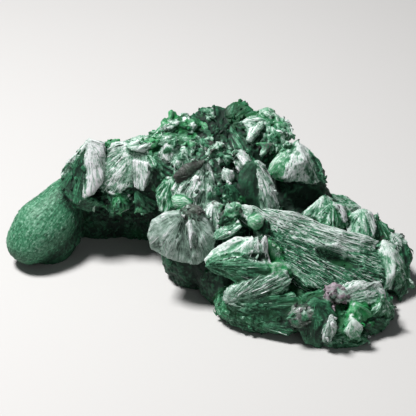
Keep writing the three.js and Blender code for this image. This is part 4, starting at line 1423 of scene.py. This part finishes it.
class Shade:
    """A socket on which Python's operators add Math nodes."""

    def __init__(self, nodes: "Nodes", socket: bpy.types.NodeSocket) -> None:
        """Wraps a socket of a material's nodes."""
        self.nodes = nodes
        self.socket = socket

    def _math(self, operation: str, *values: object) -> "Shade":
        """Adds one Math node on some values."""
        inputs = {index: value for index, value in enumerate(values)}
        return self.nodes.add("ShaderNodeMath", {"operation": operation}, inputs)[0]

    def __add__(self, other: object) -> "Shade":
        """self + other."""
        return self._math("ADD", self, other)

    __radd__ = __add__

    def __mul__(self, other: object) -> "Shade":
        """self * other."""
        return self._math("MULTIPLY", self, other)

    __rmul__ = __mul__

    def __sub__(self, other: object) -> "Shade":
        """self - other."""
        return self._math("SUBTRACT", self, other)

    def __rsub__(self, other: object) -> "Shade":
        """other - self."""
        return self._math("SUBTRACT", other, self)

    def held(self, low: float, high: float) -> "Shade":
        """The value held between two limits."""
        return self._math("MINIMUM", self._math("MAXIMUM", self, low), high)

    def clamped(self) -> "Shade":
        """The value held between 0 and 1."""
        return self.held(0.0, 1.0)


class Nodes:
    """Adds the nodes of one material."""

    def __init__(self, name: str) -> None:
        """Starts a material that holds its shader and its output."""
        self.material = bpy.data.materials.new(name)
        self.material.use_nodes = True
        self.tree = self.material.node_tree
        self.shader = self.tree.nodes["Principled BSDF"]

    def add(self, kind: str, settings: dict[str, object], inputs: dict[object, object]) -> list[Shade]:
        """Adds one node.

        Args:
            kind: the node's type.
            settings: its settings by name, set first. `stops` sets a colour ramp's stops.
            inputs: values or links by the name or the number of the socket.

        Returns:
            The node's outputs.
        """
        node = self.tree.nodes.new(kind)
        for key, value in settings.items():
            if key == "stops":
                self.set_stops(node.color_ramp, value)
            else:
                setattr(node, key, value)
        for key, value in inputs.items():
            self.feed(node.inputs[key], value)
        return [Shade(self, output) for output in node.outputs]

    def feed(self, socket: bpy.types.NodeSocket, value: object) -> None:
        """Links a shade to a socket, or sets the socket's own value."""
        if isinstance(value, Shade):
            self.tree.links.new(value.socket, socket)
        else:
            socket.default_value = value

    @staticmethod
    def set_stops(ramp: bpy.types.ColorRamp, stops: list[tuple[float, Point]]) -> None:
        """Gives a colour ramp its stops."""
        for index, (place, colour) in enumerate(stops):
            stop = ramp.elements[index] if index < 2 else ramp.elements.new(place)
            stop.position = place
            stop.color = (*colour, 1)

    def attribute(self, name: str) -> Shade:
        """A vector that the mesh carries."""
        return self.add("ShaderNodeAttribute", {"attribute_name": name}, {})[1]

    def parts(self, vector: Shade) -> list[Shade]:
        """The three numbers of a vector."""
        return self.add("ShaderNodeSeparateXYZ", {}, {0: vector})

    def noise(self, vector: Shade, scale: float, detail: float, roughness: float = 0.5) -> Shade:
        """Noise on a vector, from 0 to 1."""
        inputs = {"Vector": vector, "Scale": scale, "Detail": detail, "Roughness": roughness}
        return self.add("ShaderNodeTexNoise", {}, inputs)[0]

    def mix(self, factor: Shade, low: object, high: object) -> Shade:
        """Mixes two colours."""
        made = self.add("ShaderNodeMix", {"data_type": "RGBA"}, {0: factor, 6: low, 7: high})
        return made[2]


@dataclass(frozen=True)
class MalachiteFinish:
    """The colours of fibrous malachite, from its hollows to its silk.

    `stops` are the lightness of `hollow`, `deep`, `green`, `mint` and `silk`; the pale `silk` is partly the
    fibres' own colour and partly a painted silky sheen. `streaks`, `strands`, `patches` and `grains` are how
    far each noise moves the lightness, and the scales are in periods a metre, but `strand_scale` is in
    strands a streak. Grooves and hollows darken by their weights, within their ranges, as a painted shade in
    the creases. Moss, blush, plum and rust grow by their weights and by the noises that they name, from above
    their floors, and blush tints the palest silk `sheen_lilac`, a painted pinkish sheen. Roughness runs from
    `dull` in the hollows to `gloss` less on the silk, and `bump_height` is in metres.
    """

    hollow: Point = (0.002, 0.016, 0.008)
    deep: Point = (0.009, 0.06, 0.028)
    green: Point = (0.035, 0.175, 0.085)
    mint: Point = (0.19, 0.37, 0.26)
    # The palest colour: silvery fibres, partly their own colour and partly a painted silky sheen.
    silk: Point = (0.66, 0.725, 0.695)
    moss: Point = (0.012, 0.25, 0.06)
    plum: Point = (0.29, 0.2, 0.25)
    umber: Point = (0.035, 0.022, 0.024)
    # A painted pinkish sheen that tints the palest silk.
    sheen_lilac: Point = (0.68, 0.56, 0.66)
    sheen: Point = (0.75, 1.0, 0.88)
    stops: tuple[float, ...] = (0.0, 0.24, 0.5, 0.76, 1.0)
    streaks: float = 2.2
    strands: float = 1.3
    patches: float = 0.7
    grains: float = 0.35
    pale_weight: float = 0.9
    groove_shade_weight: float = 2.2
    groove_shade_range: tuple[float, float] = (-0.16, 0.6)
    hollow_shade_weight: float = 0.6
    hollow_shade_range: tuple[float, float] = (-0.1, 0.65)
    moss_weight: float = 1.3
    moss_clouds: float = 1.4
    moss_patches: float = 0.9
    moss_floor: float = 0.3
    moss_in_light: float = 0.35
    moss_share: float = 0.75
    blush_weight: float = 1.1
    plum_weight: float = 1.3
    plum_floor: float = 0.25
    rust_weight: float = 1.7
    rust_patches: float = 1.4
    rust_streaks: float = 0.5
    rust_floor: float = 0.5
    strand_scale: float = 2.7
    patch_scale: float = 170.0
    cloud_scale: float = 60.0
    grain_scale: float = 2600.0
    dull: float = 0.68
    gloss: float = 0.32
    specular: float = 0.35
    sheen_weight: float = 0.04
    sheen_roughness: float = 0.4
    bump_strength: float = 0.5
    bump_height: float = 0.00018
    bump_streaks: float = 0.6
    bump_strands: float = 0.4
    bump_grains: float = 0.25

    def material(self) -> bpy.types.Material:
        """Makes the material.

        Returns:
            The material, which reads the body's `fibre`, `finish`, `stain` and `relief`.
        """
        nodes = Nodes("malachite")
        fibre = nodes.attribute("fibre")
        # The paleness read here already holds the painted shade by height and by facing.
        pale, contrast, moss = nodes.parts(nodes.attribute("finish"))
        # The stain attribute holds the real rust stain and, second, the painted pinkish sheen.
        rust, pink_sheen, _ = nodes.parts(nodes.attribute("stain"))
        groove, hollow, _ = nodes.parts(nodes.attribute("relief"))
        place = nodes.add("ShaderNodeTexCoord", {}, {})[3]
        streak = nodes.noise(fibre, 1.0, 3.0, 0.6)
        strand = nodes.noise(fibre, self.strand_scale, 2.0)
        patch = nodes.noise(place, self.patch_scale, 3.0, 0.6)
        cloud = nodes.noise(place, self.cloud_scale, 2.0)
        grain = nodes.noise(place, self.grain_scale, 2.0)
        swing = (streak - 0.5) * self.streaks + (strand - 0.5) * self.strands + (patch - 0.5) * self.patches
        light = pale * self.pale_weight + swing * contrast
        # Painted shade: the creases and hollows of the relief darken the colour.
        light = light - (groove * self.groove_shade_weight).held(*self.groove_shade_range)
        light = light - (hollow * self.hollow_shade_weight).held(*self.hollow_shade_range)
        light = (light + (grain - 0.5) * self.grains).clamped()
        colours = (self.hollow, self.deep, self.green, self.mint, self.silk)
        stops = list(zip(self.stops, colours))
        colour = nodes.add("ShaderNodeValToRGB", {"stops": stops}, {0: light})[0]
        mossy = moss * self.moss_weight + (cloud - 0.5) * self.moss_clouds
        mossy = mossy + (patch - 0.5) * self.moss_patches - self.moss_floor - light * self.moss_in_light
        colour = nodes.mix(mossy.clamped() * self.moss_share, colour, (*self.moss, 1))
        # Painted pinkish sheen, strongest on the palest silk.
        colour = nodes.mix((pink_sheen * light * self.blush_weight).clamped(), colour, (*self.sheen_lilac, 1))
        plum = (light * self.plum_weight - self.plum_floor).clamped()
        stain = nodes.mix(plum, (*self.umber, 1), (*self.plum, 1))
        rusty = rust * self.rust_weight + (patch - 0.5) * self.rust_patches
        rusty = rusty + (streak - 0.5) * self.rust_streaks - self.rust_floor
        colour = nodes.mix(rusty.clamped(), colour, stain)
        bumps = streak * self.bump_streaks + strand * self.bump_strands + grain * self.bump_grains
        bump = {"Strength": self.bump_strength, "Distance": self.bump_height, "Height": bumps}
        normal = nodes.add("ShaderNodeBump", {}, bump)[0]
        shader = nodes.shader.inputs
        nodes.feed(shader["Base Color"], colour)
        nodes.feed(shader["Roughness"], self.dull - light * self.gloss)
        nodes.feed(shader["Normal"], normal)
        shader["Specular IOR Level"].default_value = self.specular
        shader["Sheen Weight"].default_value = self.sheen_weight
        shader["Sheen Roughness"].default_value = self.sheen_roughness
        shader["Sheen Tint"].default_value = (*self.sheen, 1)
        return nodes.material


def write(mesh: bpy.types.Mesh, name: str, values: np.ndarray) -> None:
    """Writes a vector for each vertex of a mesh."""
    layer = mesh.attributes.new(name, "FLOAT_VECTOR", "POINT")
    layer.data.foreach_set("vector", values.astype(np.float32).ravel())


def read(mesh: bpy.types.Mesh, name: str) -> np.ndarray:
    """Reads the vector of each vertex of a mesh."""
    flat = np.empty(len(mesh.vertices) * 3, np.float32)
    mesh.attributes[name].data.foreach_get("vector", flat)
    return flat.reshape(-1, 3).astype(np.float64)


@dataclass
class Painter:
    """Writes on the finished mesh what the material reads.

    `near` and `far` are how many rounds of smoothing show its grooves and its hollows, which the material
    darkens as painted shade. It is darker towards the bottom, a painted shade, from `low_shade_pale` at the
    floor, by one part in `low_shade_reach` for each millimetre. Its painted light and shade go by the way it
    faces: it is as pale as `wall_shade_pale` on a wall, `top_light_pale` more where it faces up and that much
    less where it faces down, but never under `under_shade_pale`. The fibres' colours are `strand_width` as
    wide as their relief and
    `strand_stretch` times as long as wide, and `apart` keeps those of neighbouring growths from matching.
    """

    specimen: Specimen
    near: int = 8
    far: int = 50
    low_shade_pale: float = 0.6
    low_shade_reach: float = 16.0
    wall_shade_pale: float = 0.85
    top_light_pale: float = 0.5
    under_shade_pale: float = 0.4
    strand_width: float = 1.3
    strand_stretch: float = 14.0
    apart: float = 3.17

    def paint(self, mesh: bpy.types.Mesh) -> np.ndarray:
        """Writes the attributes of a body that is still in the layout's place.

        Args:
            mesh: the body.

        Returns:
            The lobe or block of each vertex.
        """
        points = positions(mesh)
        owners = self.specimen.owners(points)
        away, distance = self.specimen.flow(points, owners)
        width = self.specimen.of_skin(owners, "fibre_width") * self.strand_width
        reach = (self.specimen.lengths(owners) + distance / self.strand_stretch) / width
        write(mesh, "fibre", away * reach[:, None] + (owners * self.apart)[:, None])
        finish = self.skins(owners, "pale", "contrast", "moss")
        facing = normals(mesh)
        # Painted shade towards the floor, then painted light and shade by which way the surface faces.
        finish[:, 0] *= np.clip(self.low_shade_pale + points[:, 2] / self.low_shade_reach, 0, 1)
        finish[:, 0] *= np.clip(self.wall_shade_pale + self.top_light_pale * facing[:, 2], self.under_shade_pale, 1)
        write(mesh, "finish", finish)
        # The real rust stain, then twice the painted pinkish sheen.
        write(mesh, "stain", self.skins(owners, "rust", "pink_sheen", "pink_sheen"))
        # The depths of grooves and hollows, which the material turns into painted shade.
        near = smoothed(mesh, points, self.near)
        far = smoothed(mesh, near, self.far)
        depths = [np.einsum("ij,ij->i", middle - points, facing) for middle in (near, far)]
        write(mesh, "relief", np.stack([*depths, depths[0]], axis=1))
        return owners

    def skins(self, owners: np.ndarray, *names: str) -> np.ndarray:
        """Three values of the skins, for each point's lobe or block."""
        return np.stack([self.specimen.of_skin(owners, name) for name in names], axis=1)


# ----------------------------------------------------------------------------------------------------------
# Loose fibres and flakes
# ----------------------------------------------------------------------------------------------------------


@dataclass(frozen=True)
class Coat:
    """Many small spindles laid along the surface, from arrays.

    Each spindle has two pointed ends and two rings of three points between them. `density` names the skins'
    value for how many there are, `length` is a range of lengths, or of shares of the skins' `silk_length`
    when `by_skin` is set, and `width` and `height` are ranges too. `stray` turns them away from the flow,
    `lift` raises their tips, `uneven` moves their points and `tone` is how far their paleness varies. `kept`
    stops them at the edges of their lobe or block. `side` is -1 for the front, 1 for the back and 0 for all
    round.
    """

    name: str
    seed: int
    limit: int
    density: str
    length: tuple[float, float]
    by_skin: bool
    width: tuple[float, float]
    height: tuple[float, float]
    stray: float
    lift: float
    uneven: float
    tone: float
    side: int
    kept: bool


COATS = (
    Coat(
        name="silk_front", seed=31, limit=16300, density="silk", length=(0.5, 1.4), by_skin=True,
        width=(0.13, 0.26), height=(0.04, 0.1), stray=0.05, lift=0.02, uneven=0.02, tone=0.28, side=-1,
        kept=True,
    ),
    Coat(
        name="silk_back", seed=32, limit=10000, density="silk", length=(0.5, 1.4), by_skin=True,
        width=(0.18, 0.36), height=(0.05, 0.13), stray=0.05, lift=0.02, uneven=0.02, tone=0.28, side=1,
        kept=True,
    ),
    Coat(
        name="flakes", seed=33, limit=9000, density="flakes", length=(0.6, 1.8), by_skin=False,
        width=(0.4, 0.9), height=(0.2, 0.45), stray=0.5, lift=0.2, uneven=0.1, tone=0.3, side=0, kept=False,
    ),
)

# The faces of one spindle: its start is vertex 0, its two rings are 1 to 3 and 4 to 6, and its end is 7.
SPINDLE = np.array(
    [(0, 2, 1), (0, 3, 2), (0, 1, 3)]
    + [(1, 2, 5), (1, 5, 4), (2, 3, 6), (2, 6, 5), (3, 1, 4), (3, 4, 6)]
    + [(7, 4, 5), (7, 5, 6), (7, 6, 4)]
)


@dataclass
class CoatMaker:
    """Lays coats of spindles on the body.

    No spindle starts under `floor_gap`, where the surface faces down by more than `overhang`, or, for a coat
    of one side, where the surface leans away from that side. They start up to about `scatter` from their
    vertex, lie `sunk` into the surface, stop with a stub of `stub` at an edge and stay `clear` of the floor.
    `front_ring` and `back_ring` are the half widths of their two rings, as shares of their width. A spot
    leans to the back by `back_lean` of how far it faces back, less `up_lean` of how far it faces up.

    A spindle is never paler than `palest`, and its contrast is `calmer` times the body's. Its tone varies
    more with contrast, from `steady` up. Its relief, which the material darkens as painted shade, is held to
    `relief_range`, and the fibres' colours run `colour_run` along it.
    """

    specimen: Specimen
    body: bpy.types.Object
    owners: np.ndarray
    floor_gap: float = 0.5
    overhang: float = -0.75
    back_lean: float = 0.75
    up_lean: float = 0.25
    least_lean: float = -0.05
    scatter: float = 0.12
    stub: float = 0.03
    sunk: float = 0.06
    clear: float = 0.02
    front_ring: float = 0.5
    back_ring: float = 0.42
    palest: float = 1.1
    calmer: float = 0.35
    steady: float = 0.4
    relief_range: tuple[float, float] = (-0.05, 0.2)
    colour_run: float = 0.8

    def __post_init__(self) -> None:
        """Reads the body once for all coats."""
        mesh = self.body.data
        self.points, self.facing = positions(mesh), normals(mesh)
        self.paint = {name: read(mesh, name) for name in ("finish", "stain", "relief")}
        self.surface = surface_of(self.body)
        firsts = np.empty(len(mesh.polygons), np.int32)
        mesh.polygons.foreach_get("loop_start", firsts)
        corners = np.empty(len(mesh.loops), np.int32)
        mesh.loops.foreach_get("vertex_index", corners)
        self.face_owners = self.owners[corners[firsts]]

    def make(self, coat: Coat) -> bpy.types.Object:
        """Makes one coat.

        Args:
            coat: what its spindles are like.

        Returns:
            The coat's object, in millimetres in the layout's place.
        """
        draw = np.random.default_rng(coat.seed)
        chosen = self.choose(coat, draw)
        count = len(chosen)
        length = draw.uniform(*coat.length, count)
        if coat.by_skin:
            length *= self.specimen.of_skin(self.owners[chosen], "silk_length")
        width = draw.uniform(*coat.width, count)
        height = draw.uniform(*coat.height, count)
        spine, facing = self.spines(chosen, length, coat, draw)
        vertices = self.rings(spine, facing, width, height, coat, draw)
        faces = (SPINDLE[None] + 8 * np.arange(count)[:, None, None]).reshape(-1, 3)
        mesh = bpy.data.meshes.new(coat.name)
        mesh.from_pydata(vertices.reshape(-1, 3), [], faces)
        self.paint_coat(mesh, chosen, coat, draw)
        return stand(mesh, coat.name)

    def choose(self, coat: Coat, draw: np.random.Generator) -> np.ndarray:
        """Chooses the body's vertices on which the spindles start."""
        density = self.specimen.of_skin(self.owners, coat.density)
        density[self.points[:, 2] < self.floor_gap] = 0
        density[self.facing[:, 2] < self.overhang] = 0
        lean = self.facing[:, 1] * self.back_lean - self.facing[:, 2] * self.up_lean
        if coat.side:
            density[lean * coat.side < self.least_lean] = 0
        area = self.specimen.surface_area / len(self.points)
        count = min(coat.limit, int(density.sum() * area))
        return draw.choice(len(self.points), count, p=density / density.sum())

    def spines(
        self, chosen: np.ndarray, length: np.ndarray, coat: Coat, draw: np.random.Generator
    ) -> tuple[np.ndarray, np.ndarray]:
        """Walks along the surface from each chosen vertex.

        Args:
            chosen: the vertices.
            length: how far each walk goes.
            coat: how far the walks stray.
            draw: the coat's random numbers.

        Returns:
            Four places on each walk, and the way the surface faces there.
        """
        start = self.points[chosen]
        start = start + self.scatter * draw.normal(size=start.shape)
        owners = self.owners[chosen]
        turn = coat.stray * draw.normal(size=start.shape)
        places, sides = [start], [self.facing[chosen]]
        going = np.ones(len(chosen), bool)
        for _ in range(3):
            away, _ = self.specimen.flow(places[-1], owners)
            flow = unit(away + turn)
            flow = unit(flow - sides[-1] * np.einsum("ij,ij->i", flow, sides[-1])[:, None])
            ahead = places[-1] + flow * (length / 3)[:, None]
            hits = [self.surface.find_nearest(Vector(point)) for point in ahead]
            if coat.kept:
                going &= self.face_owners[[hit[2] for hit in hits]] == owners
            spot, side = np.array([hit[0] for hit in hits]), np.array([hit[1] for hit in hits])
            places.append(np.where(going[:, None], spot, places[-1] + flow * self.stub))
            sides.append(np.where(going[:, None], unit(side + sides[-1]), sides[-1]))
        return np.stack(places, axis=1), np.stack(sides, axis=1)

    def rings(
        self,
        spine: np.ndarray,
        facing: np.ndarray,
        width: np.ndarray,
        height: np.ndarray,
        coat: Coat,
        draw: np.random.Generator,
    ) -> np.ndarray:
        """Puts the eight points of each spindle around its spine.

        Args:
            spine: four places along each spindle.
            facing: the way the surface faces at each.
            width: the spindles' widths.
            height: how far they stand out.
            coat: how uneven they are and how far their tips lift.
            draw: the coat's random numbers.

        Returns:
            Eight points for each spindle.
        """
        along = unit(spine[:, 3] - spine[:, 0])
        points = []
        reach = np.linalg.norm(spine[:, 3] - spine[:, 0], axis=1)
        lifted = [facing[:, i] * (coat.lift * reach * i / 3)[:, None] for i in range(4)]
        sunk = facing * self.sunk
        points.append(spine[:, 0] - sunk[:, 0] * 2)
        for i, share in ((1, self.front_ring), (2, self.back_ring)):
            across = unit(np.cross(facing[:, i], along))
            base = spine[:, i] + lifted[i] - sunk[:, i]
            half = across * (width * share)[:, None]
            points += [base - half, base + facing[:, i] * height[:, None], base + half]
        points.append(spine[:, 3] + lifted[3] - sunk[:, 3])
        points = np.stack(points, axis=1)
        points = points + coat.uneven * draw.normal(size=points.shape)
        points[..., 2] = np.maximum(points[..., 2], self.clear)
        return points

    def paint_coat(
        self, mesh: bpy.types.Mesh, chosen: np.ndarray, coat: Coat, draw: np.random.Generator
    ) -> None:
        """Writes on a coat what the material reads: each spindle has its own tone."""
        finish = self.paint["finish"][chosen]
        tone = draw.normal(size=len(chosen)) * coat.tone * (self.steady + finish[:, 1])
        finish[:, 0] = np.clip(finish[:, 0] + tone, 0, self.palest)
        finish[:, 1] *= self.calmer
        relief = self.paint["relief"][chosen]
        relief[:, 0] = np.clip(relief[:, 0], *self.relief_range)
        run = np.linspace(0, 1, 8)[None, :, None] * self.colour_run
        own = draw.uniform(0, 100, (len(chosen), 1, 3)) + run
        write(mesh, "fibre", own.reshape(-1, 3))
        write(mesh, "finish", np.repeat(finish, 8, axis=0))
        write(mesh, "stain", np.repeat(self.paint["stain"][chosen], 8, axis=0))
        write(mesh, "relief", np.repeat(relief, 8, axis=0))


# ----------------------------------------------------------------------------------------------------------
# The place in the frame, and the studio
# ----------------------------------------------------------------------------------------------------------


@dataclass
class Placement:
    """Brings the layout's millimetres to the frame's metres."""

    scale: float
    shift: Vector

    @classmethod
    def onto_frame(cls, body: bpy.types.Object) -> "Placement":
        """Works out the placement that puts the body on the frame's box."""
        points = positions(body.data)
        low, high = points.min(axis=0), points.max(axis=0)
        cad_low, cad_high = (Vector(corner) for corner in CAD_BOX)
        scale = (cad_high.x - cad_low.x) / (high[0] - low[0])
        middle = (cad_low + cad_high) / 2
        across = (middle[axis] - scale * (low[axis] + high[axis]) / 2 for axis in (0, 1))
        return cls(scale, Vector((*across, 0)))

    def point(self, layout: Point) -> Vector:
        """A point of the layout in the frame."""
        return Vector(layout) * self.scale + self.shift

    def apply(self, piece: bpy.types.Object) -> None:
        """Moves a piece's mesh to the frame."""
        piece.data.transform(Matrix.LocRotScale(self.shift, None, Vector((self.scale,) * 3)))
        piece.data.update()


@dataclass(frozen=True)
class Lamp:
    """A square soft light that looks at the specimen, in the frame's metres and in watts."""

    name: str
    place: Point
    size: float
    power: float


LAMPS = (
    Lamp("key", (-0.14, 0.015, 0.345), 0.08, 2.35),
    Lamp("fill", (0.12, -0.4, 0.25), 0.4, 0.12),
)


@dataclass
class Studio:
    """A pale floor, soft lights and the camera.

    `target` and `distance` are in the layout's millimetres and `elevation` is in degrees. `lit` is where the
    lamps look and `clip_start` where the camera's view starts, in metres.
    """

    target: Point = (0, 0, 14)
    elevation: float = 35
    distance: float = 277
    lens: float = 120
    sensor: float = 36
    clip_start: float = 0.01
    lit: Point = (0, 0, 0.01)
    floor_size: float = 6
    floor_colour: Point = (0.52, 0.51, 0.5)
    floor_roughness: float = 0.9
    world_colour: Point = (0.9, 0.95, 1)
    world_strength: float = 0.09

    def build(self, placement: Placement) -> None:
        """Sets up the scene around the specimen."""
        self.floor()
        for lamp in LAMPS:
            self.light(lamp)
        self.world()
        self.camera(placement)

    def floor(self) -> None:
        """A plain pale floor that runs out of view."""
        bpy.ops.mesh.primitive_plane_add(size=self.floor_size)
        floor = bpy.context.active_object
        floor.name = "floor"
        nodes = Nodes("floor")
        nodes.shader.inputs["Base Color"].default_value = (*self.floor_colour, 1)
        nodes.shader.inputs["Roughness"].default_value = self.floor_roughness
        floor.data.materials.append(nodes.material)

    def light(self, lamp: Lamp) -> None:
        """Hangs one lamp."""
        bpy.ops.object.light_add(type="AREA", location=lamp.place)
        light = bpy.context.active_object
        light.name = lamp.name
        light.data.size = lamp.size
        light.data.energy = lamp.power
        light.rotation_mode = "QUATERNION"
        light.rotation_quaternion = (Vector(self.lit) - Vector(lamp.place)).to_track_quat("-Z", "Y")

    def world(self) -> None:
        """A dim even light from all round."""
        world = bpy.data.worlds.new("studio")
        world.use_nodes = True
        background = world.node_tree.nodes["Background"]
        background.inputs["Color"].default_value = (*self.world_colour, 1)
        background.inputs["Strength"].default_value = self.world_strength
        bpy.context.scene.world = world

    def camera(self, placement: Placement) -> None:
        """A long lens that looks down on the specimen."""
        angle = math.radians(self.elevation)
        back = Vector((0, -math.cos(angle), math.sin(angle)))
        target = placement.point(self.target)
        bpy.ops.object.camera_add(location=target + back * self.distance * placement.scale)
        camera = bpy.context.active_object
        camera.rotation_mode = "QUATERNION"
        camera.rotation_quaternion = (-back).to_track_quat("-Z", "Y")
        camera.data.lens = self.lens
        camera.data.sensor_width = self.sensor
        camera.data.clip_start = self.clip_start
        bpy.context.scene.camera = camera
        bpy.context.scene.view_settings.view_transform = "Standard"


def finish_piece(piece: bpy.types.Object, placement: Placement, material: bpy.types.Material) -> None:
    """Brings a piece to the frame, gives it its material and its place on the specimen's body."""
    piece.data.materials.clear()
    piece.data.materials.append(material)
    placement.apply(piece)
    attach(piece, BODY)
    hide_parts(NODE)
    logging.info("%s: %d triangles", piece.name, len(piece.data.polygons))


def main() -> None:
    """Builds the specimen and its studio."""
    logging.basicConfig(level=logging.INFO, format="%(message)s")
    specimen = Specimen()
    body = specimen.build()
    owners = Painter(specimen).paint(body.data)
    coat_maker = CoatMaker(specimen, body, owners)
    coats = [coat_maker.make(coat) for coat in COATS]
    specimen.thin(body)
    select_only(body)
    bpy.ops.object.shade_smooth()
    placement = Placement.onto_frame(body)
    material = MalachiteFinish().material()
    for piece in (body, *coats):
        finish_piece(piece, placement, material)
    Studio().build(placement)


if __name__ == "__main__":
    main()
